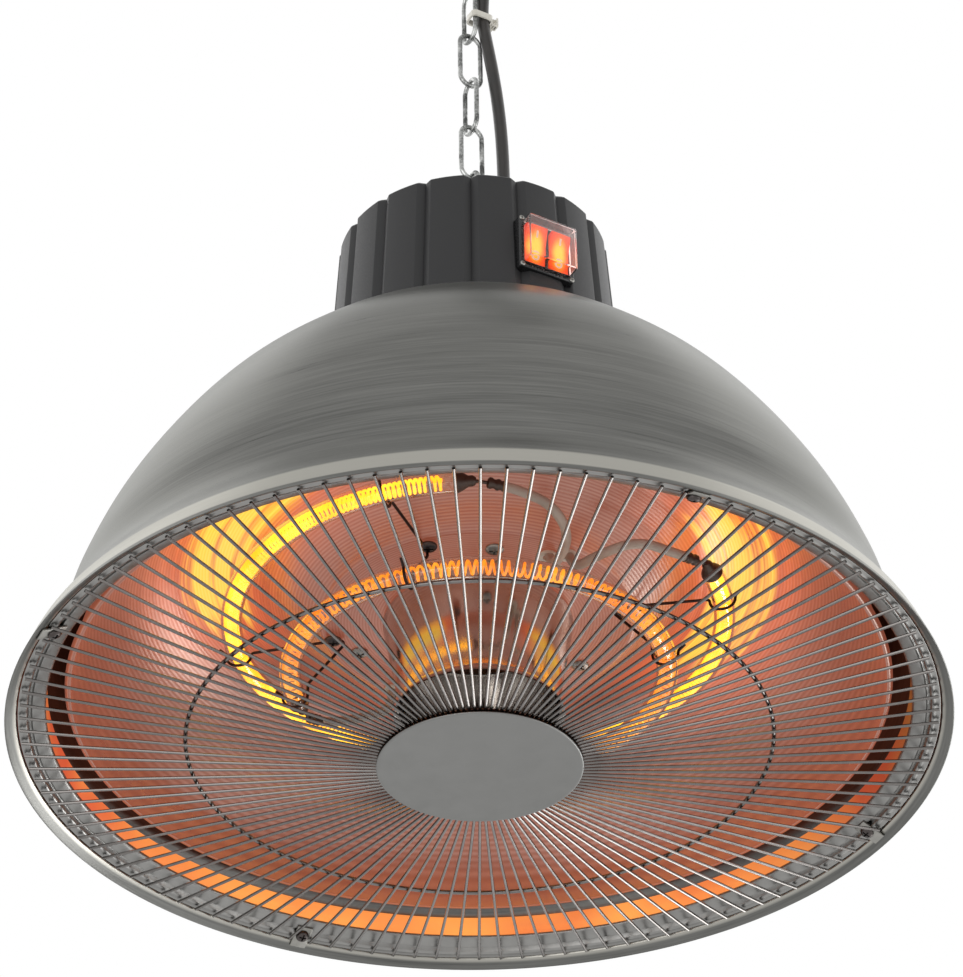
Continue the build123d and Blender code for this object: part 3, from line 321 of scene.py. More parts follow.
def clear_glass(name, tint, ior, roughness):
    # Clear tube or moulding: bends and mirrors, and lets the lamps' light straight through
    made, tree, shader, place, output = surface(name, Base_Color=linear(tint), IOR=ior, Transmission_Weight=1.0)
    smear = add(tree, "ShaderNodeTexNoise", {"Vector": place, "Scale": 60.0, "Detail": 3.0})
    feed(shader, {"Roughness": add(tree, "ShaderNodeMapRange", {
        "Value": smear, "From Min": 0.3, "From Max": 0.7, "To Min": roughness * 0.6, "To Max": roughness * 1.4})})
    through = add(tree, "ShaderNodeBsdfTransparent", {"Color": linear(tint)})
    feed(output, {"Surface": add(tree, "ShaderNodeMixShader", {
        0: add(tree, "ShaderNodeLightPath").outputs["Is Shadow Ray"], 1: shader, 2: through})})
    return made


def glowing_wire(name, cool, hot, strength):
    # Heating wire at red to yellow heat: its own light, uneven along the coil
    made, tree, shader, place, _ = surface(name, Base_Color=linear("#2A1A12"), Roughness=0.6,
                                           Emission_Strength=strength)
    drift = add(tree, "ShaderNodeTexNoise", {"Vector": place, "Scale": 45.0, "Detail": 2.0})
    heat = add(tree, "ShaderNodeMapRange", {"Value": drift, "From Min": 0.35, "From Max": 0.65})
    feed(shader, {"Emission Color": add(tree, "ShaderNodeMix", {0: heat, 6: linear(cool), 7: linear(hot)},
                                        data_type="RGBA")})
    return made


def lit_acrylic():
    # Red translucent acrylic key with a lamp behind its middle: yellow heart, orange body, deep red edges
    made, tree, shader, place, _ = surface("lit_acrylic", Base_Color=linear("#B3160C"), Roughness=0.18,
                                           Emission_Strength=1.0)
    parts = add(tree, "ShaderNodeSeparateXYZ", {0: place}).outputs
    side = add(tree, "ShaderNodeMath", {0: parts["X"]}, operation="ABSOLUTE")
    across = add(tree, "ShaderNodeMath", {0: side, 1: glow_aside * mm}, operation="SUBTRACT")
    up = add(tree, "ShaderNodeMath", {0: parts["Z"], 1: level_in_frame(glow_level)}, operation="SUBTRACT")
    spot = add(tree, "ShaderNodeCombineXYZ", {0: across, 2: up})
    squeezed = add(tree, "ShaderNodeVectorMath", {0: spot, 1: (1.5, 1, 0.72)}, operation="MULTIPLY")
    far = add(tree, "ShaderNodeVectorMath", {0: squeezed}, operation="LENGTH")
    heart, body = [add(tree, "ShaderNodeMapRange", {"Value": far, "From Min": start, "From Max": end, "To Min": 1.0,
                                                    "To Max": 0.0}, interpolation_type="SMOOTHSTEP")
                   for start, end in ((0.002, 0.0075), (0.005, 0.013))]
    outer = add(tree, "ShaderNodeMix", {0: body, 6: linear("#A81408"), 7: linear("#FF6A12")}, data_type="RGBA")
    feed(shader, {"Emission Color": add(tree, "ShaderNodeMix", {0: heart, 6: outer, 7: linear("#FFF04A")},
                                        data_type="RGBA")})
    return made


def braided_sleeving():
    # Woven glass-fibre sleeving, heat-yellowed: a fine slanting braid
    made, tree, shader, place, _ = surface("braided_sleeving", Roughness=0.85)
    braid = add(tree, "ShaderNodeTexVoronoi", {"Vector": place, "Scale": 1100.0})
    stain = add(tree, "ShaderNodeTexNoise", {"Vector": place, "Scale": 60.0, "Detail": 3.0})
    feed(shader, {"Base Color": add(tree, "ShaderNodeMix", {0: stain, 6: linear("#8E8074"), 7: linear("#D8CFC2")},
                                    data_type="RGBA"),
                  "Normal": add(tree, "ShaderNodeBump", {"Strength": 0.6, "Distance": 0.0002, "Height": braid})})
    return made


def grained_pvc():
    # Black PVC cord sheath: matt, finely grained, with a slight bloom
    made, tree, shader, place, _ = surface("grained_pvc")
    bloom = add(tree, "ShaderNodeTexNoise", {"Vector": place, "Scale": 120.0, "Detail": 4.0})
    grain = add(tree, "ShaderNodeTexNoise", {"Vector": place, "Scale": 2200.0, "Detail": 2.0})
    feed(shader, {"Base Color": add(tree, "ShaderNodeMix", {0: bloom, 6: linear("#1B1A19"), 7: linear("#34302D")},
                                    data_type="RGBA"),
                  "Roughness": add(tree, "ShaderNodeMapRange", {"Value": bloom, "To Min": 0.34, "To Max": 0.55}),
                  "Normal": add(tree, "ShaderNodeBump", {"Strength": 0.3, "Distance": 0.00008, "Height": grain})})
    return made


switch_level = 236.1
glow_aside, glow_level = 6.4, switch_level - 1.5
bell_finish = spun_aluminium()
reflector_finish = lathed_aluminium()
ring_finish = polished_steel("polished_stainless_sheet", "#7A7977", "#A09F9C", 0.3, 0.42)
painted_glow_finish = painted_lamp_light_steel()
wire_finish = polished_steel("polished_stainless_wire", "#605D5B", "#86827F", 0.2, 0.32)
cup_finish = polished_steel("deep_drawn_stainless", "#B0ACA8", "#D6D2CE", 0.08, 0.18)
hub_finish = plain_finish("satin_stainless", "#747472", "#888886", 9.0, 0.01, 0.38, 0.5, 1.0)
zinc_finish = galvanised_steel()
plate_finish = plain_finish("zinc_plated_sheet", "#7D7C78", "#A8A6A0", 3.0, 0.01, 0.35, 0.5, 1.0)
cap_finish = plain_finish("satin_black_abs", "#1B1B1C", "#262627", 0.7, 0.02, 0.46, 0.6, sheen=0.4)
gloss_finish = plain_finish("gloss_black_nylon", "#121213", "#1B1B1C", 1.5, 0.01, 0.2, 0.32)
cord_finish = grained_pvc()
nylon_finish = plain_finish("natural_nylon", "#CFCBC0", "#EAE7DE", 2.0, 0.01, 0.3, 0.45)
cover_finish = clear_glass("clear_polycarbonate", "#F7E4E0", 1.5, 0.06)
quartz_finish = clear_glass("quartz_glass", "#FFF6EC", 1.45, 0.03)
outer_glow = glowing_wire("yellow_hot_wire", "#F29A18", "#FFC030", 2.6)
inner_glow = glowing_wire("orange_hot_wire", "#F07C1C", "#FFA42C", 1.5)
key_finish = lit_acrylic()
mark_finish = plain_finish("printed_white_ink", "#F2E8D8", "#FFF8EC", 1.0, 0.002, 0.4, 0.5)
seal_finish = plain_finish("heat_stained_nickel", "#3A322E", "#6B5F58", 2.0, 0.02, 0.35, 0.6, 1.0)
sleeve_finish = braided_sleeving()
ceramic_finish = plain_finish("fired_steatite", "#C9C2B4", "#E4DDD0", 1.2, 0.02, 0.5, 0.7)
bracket_finish = plain_finish("blued_spring_wire", "#2B2220", "#4A3C38", 2.0, 0.02, 0.35, 0.55, 1.0)
screw_finish = plain_finish("blackened_screw_steel", "#3A3635", "#5E5856", 1.2, 0.02, 0.3, 0.5, 1.0)
block_finish = plain_finish("moulded_terminal_nylon", "#C4C3BD", "#DAD9D3", 1.2, 0.02, 0.45, 0.6)
brass_finish = plain_finish("turned_brass", "#A98B4A", "#CFB06A", 1.5, 0.01, 0.22, 0.35, 1.0)


# Meshes
def as_mesh(bm):
    """A working mesh as plain mesh data."""
    mesh = bpy.data.meshes.new("work")
    bm.to_mesh(mesh)
    bm.free()
    return mesh


def finished(bm):
    """A working mesh with its doubles merged and its faces turned outwards, as plain mesh data."""
    bmesh.ops.remove_doubles(bm, verts=bm.verts, dist=0.001)
    bmesh.ops.recalc_face_normals(bm, faces=bm.faces)
    return as_mesh(bm)


def lofted(rows, closed=True):
    """A skin over rows of places, the last row joined to the first; closed joins each row's ends too."""
    bm = bmesh.new()
    rings = [[bm.verts.new(place) for place in row] for row in rows]
    for here, there in zip(rings, rings[1:] + rings[:1]):
        for index in range(len(here) if closed else len(here) - 1):
            after = (index + 1) % len(here)
            bm.faces.new((here[index], here[after], there[after], there[index]))
    return finished(bm)


def spun(outline, steps=160):
    """A closed outline of radius and height, turned round the axis."""
    return lofted([[polar(360 * step / steps, radius, height) for step in range(steps)]
                   for radius, height in outline])


def rod(outline, steps=20):
    """A small turned piece, from an outline that is open along the axis."""
    return spun([(0, outline[0][1])] + outline + [(0, outline[-1][1])], steps)


def merged(*meshes):
    """Several meshes as one."""
    bm = bmesh.new()
    for mesh in meshes:
        bm.from_mesh(mesh)
    return as_mesh(bm)


def moved(mesh, *place, turn=0.0):
    """A copy of a mesh, turned about the axis and then moved."""
    copy = mesh.copy()
    copy.transform(Matrix.Translation(place) @ Matrix.Rotation(math.radians(turn), 4, "Z"))
    return copy


def towards(mesh, start, heading):
    """A mesh built up the axis, laid along a heading from a place."""
    copy = mesh.copy()
    copy.transform(Matrix.Translation(start) @ heading.to_track_quat("Z", "Y").to_matrix().to_4x4())
    return copy


def smoothed(points, steps):
    """Places along a smooth line through these points."""
    places = [Vector(point) for point in points]
    headings = [(places[min(index + 1, len(places) - 1)] - places[max(index - 1, 0)]).normalized()
                for index in range(len(places))]
    line = [places[0]]
    for start, end, leaving, arriving in zip(places, places[1:], headings, headings[1:]):
        reach = (end - start).length / 3
        line += interpolate_bezier(start, start + leaving * reach, end - arriving * reach, end, steps + 1)[1:]
    return [tuple(place) for place in line]


def beside(line, wall):
    """The line parallel to another in the plane, a wall to the right of its heading."""
    shifted = []
    for index, here in enumerate(line):
        before, after = line[max(index - 1, 0)], line[min(index + 1, len(line) - 1)]
        heading = Vector((after[0] - before[0], after[1] - before[1])).normalized()
        shifted.append((here[0] + heading.y * wall, here[1] - heading.x * wall))
    return shifted


def block(low, high):
    """A box from its lowest to its highest corner."""
    bm = bmesh.new()
    bmesh.ops.create_cube(bm, size=1.0)
    for vertex in bm.verts:
        vertex.co = [low[axis] if vertex.co[axis] < 0 else high[axis] for axis in range(3)]
    return finished(bm)


def prism(outline, low, high):
    """An outline in the XY plane, raised from one height to another."""
    bm = bmesh.new()
    base, top = [[bm.verts.new((*point, height)) for point in outline] for height in (low, high)]
    bm.faces.new(base)
    bm.faces.new(top)
    for index in range(len(outline)):
        after = (index + 1) % len(outline)
        bm.faces.new((base[index], base[after], top[after], top[index]))
    return finished(bm)


def polyline(points, bends, closed):
    """A bare line of edges, with the bend radius of each of its points."""
    mesh = bpy.data.meshes.new("line")
    count = len(points)
    edges = [(index, (index + 1) % count) for index in range(count if closed else count - 1)]
    mesh.from_pydata([tuple(point) for point in points], edges, [])
    bend = mesh.attributes.new("bend", "FLOAT", "POINT")
    bend.data.foreach_set("value", bends or [0.0] * count)
    return mesh


def held(data):
    """A passing object that holds data while it is worked on."""
    holder = bpy.data.objects.new("holder", data)
    scene.collection.objects.link(holder)
    return holder


def baked(holder):
    """The plain mesh that an object comes out as; the object goes."""
    made = bpy.data.meshes.new_from_object(holder.evaluated_get(bpy.context.evaluated_depsgraph_get()))
    bpy.data.objects.remove(holder)
    return made


def shaped(mesh, kind, **settings):
    """The plain mesh that a modifier makes of a mesh."""
    holder = held(mesh)
    modifier = holder.modifiers.new(kind, kind)
    for name, setting in settings.items():
        setattr(modifier, name, setting)
    return baked(holder)


def softened(mesh, width, segments=2, angle=30):
    """A mesh with its sharp edges rounded."""
    return shaped(mesh, "BEVEL", width=width, segments=segments, limit_method="ANGLE", angle_limit=math.radians(angle))


def carved(mesh, *cutters):
    """A mesh less its cutters."""
    for cutter in cutters:
        tool = held(cutter)
        mesh = shaped(mesh, "BOOLEAN", object=tool, operation="DIFFERENCE", solver="EXACT")
        bpy.data.objects.remove(tool)
    return mesh


# Geometry Nodes trees
def tree_for(name, **sizes):
    """An empty tree with its named inputs; ended() closes it."""
    tree = bpy.data.node_groups.new(name, "GeometryNodeTree")
    for key, kind in {"Geometry": "Geometry", **sizes, "Material": "Material"}.items():
        tree.interface.new_socket(key, in_out="INPUT", socket_type=f"NodeSocket{kind}")
    tree.interface.new_socket("Geometry", in_out="OUTPUT", socket_type="NodeSocketGeometry")
    return tree, tree.nodes.new("NodeGroupInput").outputs


def thickened(tree, curve, radius, sides):
    """A curve as a round wire."""
    section = add(tree, "GeometryNodeCurvePrimitiveCircle", {"Resolution": sides, "Radius": radius}, mode="RADIUS")
    return add(tree, "GeometryNodeCurveToMesh", {"Curve": curve, "Profile Curve": section, "Fill Caps": True})


def ended(tree, given, geometry):
    """The tree's end: real geometry, with its material."""
    real = add(tree, "GeometryNodeRealizeInstances", {0: geometry})
    add(tree, "NodeGroupOutput", {
        0: add(tree, "GeometryNodeSetMaterial", {"Geometry": real, "Material": given["Material"]})})
    return tree


def bent_wire_tree():
    """A round wire along a line of edges, bent at its points to the radius that each carries."""
    tree, given = tree_for("bent_wire", radius="Float", sides="Int", bend_steps="Int")
    line = add(tree, "GeometryNodeMeshToCurve", {0: given["Geometry"]})
    bend = add(tree, "GeometryNodeInputNamedAttribute", {"Name": "bend"}, data_type="FLOAT")
    bent = add(tree, "GeometryNodeFilletCurve", {"Curve": line, "Count": given["bend_steps"], "Radius": bend,
                                                 "Limit Radius": True}, mode="POLY")
    return ended(tree, given, thickened(tree, bent, given["radius"], given["sides"]))


def round_axis_tree():
    """Copies of a piece evenly round the axis, from a first azimuth, with the seams between them closed."""
    tree, given = tree_for("round_axis", count="Int", first_azimuth="Float", seam="Float")
    index = add(tree, "GeometryNodeInputIndex")
    step = add(tree, "ShaderNodeMath", {0: 360.0, 1: given["count"]}, operation="DIVIDE")
    turn = add(tree, "ShaderNodeMath", {0: index, 1: step, 2: given["first_azimuth"]}, operation="MULTIPLY_ADD")
    angle = add(tree, "ShaderNodeMath", {0: turn}, operation="RADIANS")
    copies = add(tree, "GeometryNodeInstanceOnPoints", {
        "Points": add(tree, "GeometryNodePoints", {"Count": given["count"]}), "Instance": given["Geometry"],
        "Rotation": add(tree, "ShaderNodeCombineXYZ", {2: angle})})
    real = add(tree, "GeometryNodeRealizeInstances", {0: copies})
    return ended(tree, given, add(tree, "GeometryNodeMergeByDistance", {"Geometry": real, "Distance": given["seam"]}))


def lamp_coil_tree():
    """A fine wire wound round a ring lamp's middle line, along an arc about the axis."""
    tree, given = tree_for("lamp_coil", ring_radius="Float", height="Float", start="Float", sweep="Float",
                           coil_radius="Float", turns="Int", steps="Int", wire_radius="Float", sides="Int")
    line = add(tree, "GeometryNodeResampleCurve", {
        "Curve": add(tree, "GeometryNodeCurvePrimitiveLine", {"Start": (0, 0, 0), "End": (1, 0, 0)}),
        "Count": add(tree, "ShaderNodeMath", {0: given["turns"], 1: given["steps"]}, operation="MULTIPLY")},
        mode="COUNT")
    share = add(tree, "GeometryNodeSplineParameter").outputs["Factor"]
    azimuth = add(tree, "ShaderNodeMath", {0: share, 1: given["sweep"], 2: given["start"]}, operation="MULTIPLY_ADD")
    angle = add(tree, "ShaderNodeMath", {0: azimuth}, operation="RADIANS")
    wound = add(tree, "ShaderNodeMath", {0: share, 1: given["turns"]}, operation="MULTIPLY")
    phase = add(tree, "ShaderNodeMath", {0: wound, 1: math.tau}, operation="MULTIPLY")
    radius, height = [add(tree, "ShaderNodeMath", {
        0: add(tree, "ShaderNodeMath", {0: phase}, operation=wave), 1: given["coil_radius"], 2: given[middle]},
        operation="MULTIPLY_ADD") for wave, middle in (("COSINE", "ring_radius"), ("SINE", "height"))]
    east, south = [add(tree, "ShaderNodeMath", {
        0: radius, 1: add(tree, "ShaderNodeMath", {0: angle}, operation=wave)}, operation="MULTIPLY")
        for wave in ("SINE", "COSINE")]
    north = add(tree, "ShaderNodeMath", {0: south, 1: -1.0}, operation="MULTIPLY")
    coil = add(tree, "GeometryNodeSetPosition", {
        "Geometry": line, "Position": add(tree, "ShaderNodeCombineXYZ", {0: east, 1: north, 2: height})})
    return ended(tree, given, thickened(tree, coil, given["wire_radius"], given["sides"]))


def chain_tree():
    """A run of oval links, each a quarter turn from the last."""
    tree, given = tree_for("chain_run", links="Int", pitch="Float", bottom="Float", turned="Float", length="Float",
                           width="Float", bend="Float", radius="Float")
    oval = add(tree, "GeometryNodeCurvePrimitiveQuadrilateral", {"Width": given["width"], "Height": given["length"]})
    bent = add(tree, "GeometryNodeFilletCurve", {"Curve": oval, "Count": 12, "Radius": given["bend"]}, mode="POLY")
    stood = add(tree, "GeometryNodeTransform", {"Geometry": thickened(tree, bent, given["radius"], 12),
                                                "Rotation": (math.pi / 2, 0, 0)})
    index = add(tree, "GeometryNodeInputIndex")
    bottom = add(tree, "ShaderNodeMath", {0: index, 1: given["pitch"], 2: given["bottom"]}, operation="MULTIPLY_ADD")
    middle = add(tree, "ShaderNodeMath", {0: given["length"], 1: 0.5, 2: bottom}, operation="MULTIPLY_ADD")
    places = add(tree, "GeometryNodeSetPosition", {
        "Geometry": add(tree, "GeometryNodePoints", {"Count": given["links"]}),
        "Position": add(tree, "ShaderNodeCombineXYZ", {2: middle})})
    order = add(tree, "ShaderNodeMath", {0: index, 1: given["turned"]}, operation="ADD")
    turn = add(tree, "ShaderNodeMath", {0: order, 1: math.pi / 2}, operation="MULTIPLY")
    return ended(tree, given, add(tree, "GeometryNodeInstanceOnPoints", {
        "Points": places, "Instance": stood, "Rotation": add(tree, "ShaderNodeCombineXYZ", {2: turn})}))


def grown(tree, finish, seed=None, **values):
    """The plain mesh that a tree makes of a seed mesh."""
    holder = held(seed or bpy.data.meshes.new("seed"))
    modifier = holder.modifiers.new("shape", "NODES")
    modifier.node_group = tree
    wanted = {"Material": finish, **values}
    for item in tree.interface.items_tree:
        if item.in_out == "INPUT" and item.name in wanted:
            modifier[item.identifier] = wanted[item.name]
    return baked(holder)


bent_wire = bent_wire_tree()
round_axis = round_axis_tree()
lamp_coil = lamp_coil_tree()
chain_run = chain_tree()


def wire(finish, radius, points, bends=None, closed=False, sides=12, steps=6):
    """A round wire along points, bent at them to these radii."""
    return grown(bent_wire, finish, polyline(points, bends, closed), radius=float(radius), sides=sides,
                 bend_steps=steps)


def around(finish, mesh, count, first=0.0, seam=0.0):
    """Copies of a mesh evenly round the axis."""
    return grown(round_axis, finish, mesh, count=count, first_azimuth=float(first), seam=float(seam))


def piece(name, mesh, slot, *nodes, finish=None, crease=40, body="heater"):
    """A finished mesh as a piece of the heater: in the frame, shaded, on its body and standing for its nodes."""
    mesh.transform(into_frame)
    mesh.name = name
    if finish:
        mesh.materials.clear()
        mesh.materials.append(finish)
    mesh.shade_smooth()
    mesh.set_sharp_from_angle(angle=math.radians(crease))
    made = bpy.data.objects.new(name, mesh)
    scene.collection.objects.link(made)
    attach(made, body)
    if nodes:
        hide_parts(*nodes)
    return made


def keep(node, finish):
    """A CAD node that stays, in its real material."""
    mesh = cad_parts[node].data
    mesh.materials.clear()
    mesh.materials.append(finish)


def cross_screw(head_radius, head_height, shank_radius, length):
    """A pan-head screw with a cross recess: its head hangs below height 0 and its shank rises from it."""
    edge = min(0.5, head_height / 3)
    dome = [(0.45, 0.97), (0.78, 0.8), (0.96, 0.45)]
    outline = [(0, -head_height)] + [(head_radius * wide, -head_height * deep) for wide, deep in dome]
    outline += [(head_radius, -edge), (head_radius, 0), (shank_radius, 0), (shank_radius, length - 0.5),
                (shank_radius - 0.5, length), (0, length)]
    slot_half, slot_long = head_radius * 0.13, head_radius * 0.58
    return carved(spun(outline, 28), *[block((-x, -y, -head_height - 1), (x, y, -head_height * 0.35))
                                       for x, y in ((slot_half, slot_long), (slot_long, slot_half))])


# Bell
bell_radius, bell_height, bell_wall, bell_top_radius = 207.5, 195.0, 1.0, 72.0
bell_shares = [(0.424, 0.977), (0.501, 0.933), (0.584, 0.854), (0.678, 0.746), (0.764, 0.615), (0.843, 0.462),
               (0.899, 0.308), (0.939, 0.154)]


def bell():
    """One spun sheet: flat top, domed wall, crease, flared lip and the hem turned back inside it."""
    wall = smoothed([(bell_top_radius, bell_height)]
                    + [(bell_radius * wide, bell_height * high) for wide, high in bell_shares]
                    + [(bell_radius, 10.0)], 8)
    flare = [(207.9, 9.3), (208.5, 8.0), (211.3, 1.0), (212.2, -1.2), (212.45, -1.85), (212.1, -2.0)]
    hem = [(211.4, -1.6), (208.0, 1.2), (207.6, 1.5), (207.2, 2.4), (206.7, 9.6)]
    inner = beside(wall, bell_wall)[:-1]
    flat = [(0, bell_height), (bell_top_radius - 1.5, bell_height)]
    return spun(flat + wall + flare + hem + inner[::-1]
                + [(radius, height - bell_wall) for radius, height in flat[::-1]], 256)


piece("bell_shell", bell(), "bell_aluminium", "bell", "bell_top", finish=bell_finish, crease=25)

# Reflector
flange_radius, flange_height, bowl_rise = 191.0, 18.0, 70.0
flat_height, flat_radius = 64.0, 72.0
bowl_shares = [(0.942, 0.314), (0.873, 0.600), (0.794, 0.814), (0.714, 0.943), (0.635, 0.986), (0.529, 0.900),
               (0.450, 0.771)]
reflector_wall = 0.8
bead_radius, bead_place, bead_height = 2.0, 185.0, 20.0
hanger_place, hanger_length = 60.0, 128.8


def reflector():
    """A lathe-turned bowl with a flat middle and a rolled bead."""
    line = [(flat_radius, flat_height)]
    line += [(flange_radius * wide, flange_height + bowl_rise * high) for wide, high in reversed(bowl_shares)]
    line = smoothed(line + [(bead_place, bead_height)], 8)
    upper = beside(line, -reflector_wall)
    bead = circled(bead_radius, range(250, 430, 18), bead_place, bead_height)
    flat = [(0, flat_height), (flat_radius - 1.0, flat_height)]
    return spun(flat + line[:-1] + bead + upper[:-1][::-1]
                + [(radius, height + reflector_wall) for radius, height in flat[::-1]], 256)


piece("reflector_bowl", reflector(), "reflector_aluminium", "reflector", finish=reflector_finish, crease=35)
hanger = merged(moved(cross_screw(4.2, 1.6, 2.0, 1.0), *polar(0, hanger_place, flat_height - 0.1)),
                moved(rod([(2.5, 0), (2.5, hanger_length)]), *polar(0, hanger_place, flat_height + 1.0)))
piece("reflector_posts", around(plate_finish, hanger, 3, -22.0), "plate_steel", "reflector_hangers")

# Centre cup
cup_top = flat_height - 0.1
cup_bottom = cup_top - 50.4


def centre_cup():
    """A drawn cup with a flared lip."""
    outside = [(0, cup_top), (42.5, cup_top), (43.6, cup_top - 0.5), (44.0, cup_top - 1.6), (36.2, cup_bottom + 5.0),
               (36.1, cup_bottom + 3.4), (37.0, cup_bottom + 1.6), (38.7, cup_bottom + 0.2), (39.0, cup_bottom)]
    inside = [(38.3, cup_bottom - 0.1), (36.4, cup_bottom + 1.5), (35.3, cup_bottom + 3.4), (35.4, cup_bottom + 5.2),
              (43.0, cup_top - 2.0), (42.4, cup_top - 0.9), (0, cup_top - 0.9)]
    return spun(outside + inside, 128)


piece("cup_drawn", centre_cup(), "polished_steel", "centre_cup", finish=cup_finish)
piece("cup_fixing", moved(cross_screw(5.0, 2.4, 2.0, 5.0), 0, 0, flat_height - 1.0), "plate_steel", "cup_screw",
      finish=screw_finish)

# Ring lamps
outer_lamp = {"ring_radius": 113.5, "height": 62.0, "start": 39.5, "sweep": 286.5}
inner_lamp = {"ring_radius": 86.0, "height": 35.5, "start": -133.5, "sweep": 286.0}
tube_radius, tube_bore = 5.0, 4.0
coil_margin = 3.0


def quartz_tube(lamp, steps=150, sides=20):
    """A glass tube with its bore, bent round the axis."""
    shares = [step / steps for step in range(steps + 1)]
    angles = [360 * side / sides for side in range(sides)]
    return lofted([[polar(lamp["start"] + lamp["sweep"] * share, radius, height)
                    for radius, height in circled(section, angles, lamp["ring_radius"], lamp["height"])]
                   for section, run in ((tube_radius, shares), (tube_bore, shares[::-1])) for share in run])


def lamp_winding(lamp, finish, turns):
    """The lamp's coil, which stops short of the tube's ends."""
    span = lamp | {"start": lamp["start"] + coil_margin, "sweep": lamp["sweep"] - 2 * coil_margin}
    return grown(lamp_coil, finish, coil_radius=3.0, turns=turns, steps=12, wire_radius=0.65, sides=6, **span)


for name, lamp in (("outer", outer_lamp), ("inner", inner_lamp)):
    piece(f"{name}_quartz", quartz_tube(lamp), "quartz", f"{name}_lamp_tube", finish=quartz_finish)
for name, lamp, glow, turns in (("outer", outer_lamp, outer_glow, 240), ("inner", inner_lamp, inner_glow, 120)):
    piece(f"{name}_coil", lamp_winding(lamp, glow, turns), f"glowing_{name}", f"{name}_filament", crease=80)

# Lamp wiring: each end's lamp and side, then, from the tube's end, the azimuth and radius steps and the height of its
# clamp's two ends and of its sleeve's two bends, and then the azimuth and radius of its hole in the flat
lamp_wiring = {
    "outer_right": (outer_lamp, -1, [(-7.3, -2.5, 61.0), (-10.9, -4.9, 60.0)],
                    [(-25.0, -10.5, 57.0), (-30.5, -25.5, 54.0)], (7.0, 68.0)),
    "outer_left": (outer_lamp, 1, [(7.4, 0.1, 61.0), (11.0, -0.9, 60.0)],
                   [(23.0, -6.5, 57.0), (32.0, -23.5, 54.0)], (1.0, 62.5)),
    "inner_right": (inner_lamp, 1, [(10.7, 0.6, 36.5), (15.3, -0.6, 38.5)],
                    [(23.5, -6.0, 45.5), (28.0, -16.0, 50.0)], (181.0, 62.5)),
    "inner_left": (inner_lamp, -1, [(-10.7, 0.6, 36.5), (-15.3, -0.6, 38.5)],
                   [(-26.5, -4.0, 45.5), (-35.5, -11.0, 51.0)], (187.0, 68.0))}
seal_length, crimp_length, sleeve_radius = 8.0, 7.0, 2.25
hole_reach = 10.0


def wired_end(name):
    """A lamp's end: its pinched seal, lead and crimped clamp, and the sleeve's smooth line."""
    lamp, side, clamp, bends, hole = lamp_wiring[name]
    azimuth = lamp["start"] + (lamp["sweep"] if side > 0 else 0)
    end = polar(azimuth, lamp["ring_radius"], lamp["height"])
    leaving = polar(azimuth + 90 * side, 1)
    grips, turned = [[polar(azimuth + turn, lamp["ring_radius"] + out, height) for turn, out, height in places]
                     for places in (clamp, bends)]
    heading = (grips[1] - grips[0]).normalized()
    seal = rod([(4.9, 0), (5.05, 0.6), (4.9, 1.2), (3.9, 3.2), (2.9, 5.0), (2.5, 5.6), (2.5, 7.4), (2.1, 8.2),
                (1.4, 9.0)], 24)
    crimp = rod([(1.6, -1.0), (2.5, -0.4), (2.6, 0.8), (2.1, 1.8), (2.1, 2.6), (2.6, 3.4), (2.6, 4.2), (2.1, 5.0),
                 (2.1, 5.6), (2.6, 6.4), (2.3, crimp_length)], 24)
    lead = wire(seal_finish, 0.8, [end + leaving * seal_length, grips[0]])
    start = grips[0] + heading * crimp_length
    through = [polar(*hole, flat_height + reach) for reach in (-hole_reach, hole_reach)]
    return (merged(towards(seal, end, leaving), lead, towards(crimp, grips[0], heading)),
            [start, start + heading * 6.0] + turned + through)


lamp_ends = {"outer": [], "inner": []}
for name in lamp_wiring:
    metal, line = wired_end(name)
    lamp = name.split("_")[0]
    lamp_ends[lamp].append(metal)
    piece(f"{name}_sleeving", baked(round_line("sleeve", line, sleeve_radius, 3, 10)), "white_sleeving",
          f"{lamp}_lamp_sleeves", finish=sleeve_finish)
for which, meshes in lamp_ends.items():
    piece(f"{which}_seals", merged(*meshes), "seal_metal", f"{which}_lamp_ends", finish=seal_finish)

bushing = spun([(2.35, -1.4), (4.2, -1.4), (4.6, -1.0), (4.6, -0.3), (4.3, 0), (3.4, 0), (3.4, 3.6), (2.35, 3.6)], 28)
piece("flat_bushings", merged(*[moved(bushing, *polar(*hole, flat_height - 0.1))
                                for *_, hole in lamp_wiring.values()]),
      "white_bushing", "sleeve_bushings", finish=ceramic_finish)

# Wire brackets
bracket_azimuths = [50.0, 130.0, -130.0, -50.0]
bracket_line = [(122.6, 65.7), (119.4, 62.7), (119.4, 56.1), (107.6, 56.1), (107.6, 62.0), (75.0, 63.2), (61.0, 63.2),
                (80.1, 41.4), (80.1, 29.6), (91.9, 29.6), (91.9, 36.2), (95.1, 39.2)]
bracket_bends = [0.0, 2.0, 5.8, 5.8, 2.0, 2.0, 2.0, 2.0, 5.8, 5.8, 2.0, 0.0]
bracket_screw = cross_screw(4.0, 2.0, 1.5, 6.0)
for index, azimuth in enumerate(bracket_azimuths, 1):
    piece(f"cradle_wire_{index}", wire(bracket_finish, 0.7, [polar(azimuth, *place) for place in bracket_line],
                                       bracket_bends, sides=10),
          "guard_steel", f"lamp_bracket_{index}")
piece("cradle_screws", merged(*[moved(bracket_screw, *(polar(azimuth, 68.0, flat_height - 1.6)
                                                       + polar(azimuth + 90, 2.3)), turn=azimuth + 20)
                                for azimuth in bracket_azimuths]),
      "plate_steel", "bracket_screws", finish=screw_finish)

# Guard
clip_azimuth, spoke_count = -3.5, 120
spoke_start, spoke_end, spoke_radius = (206.0, 1.0), (39.0, -12.6), 0.75
hoop_place, hoop_radius = 132.05, 1.0
band_inner_radius = 194.6


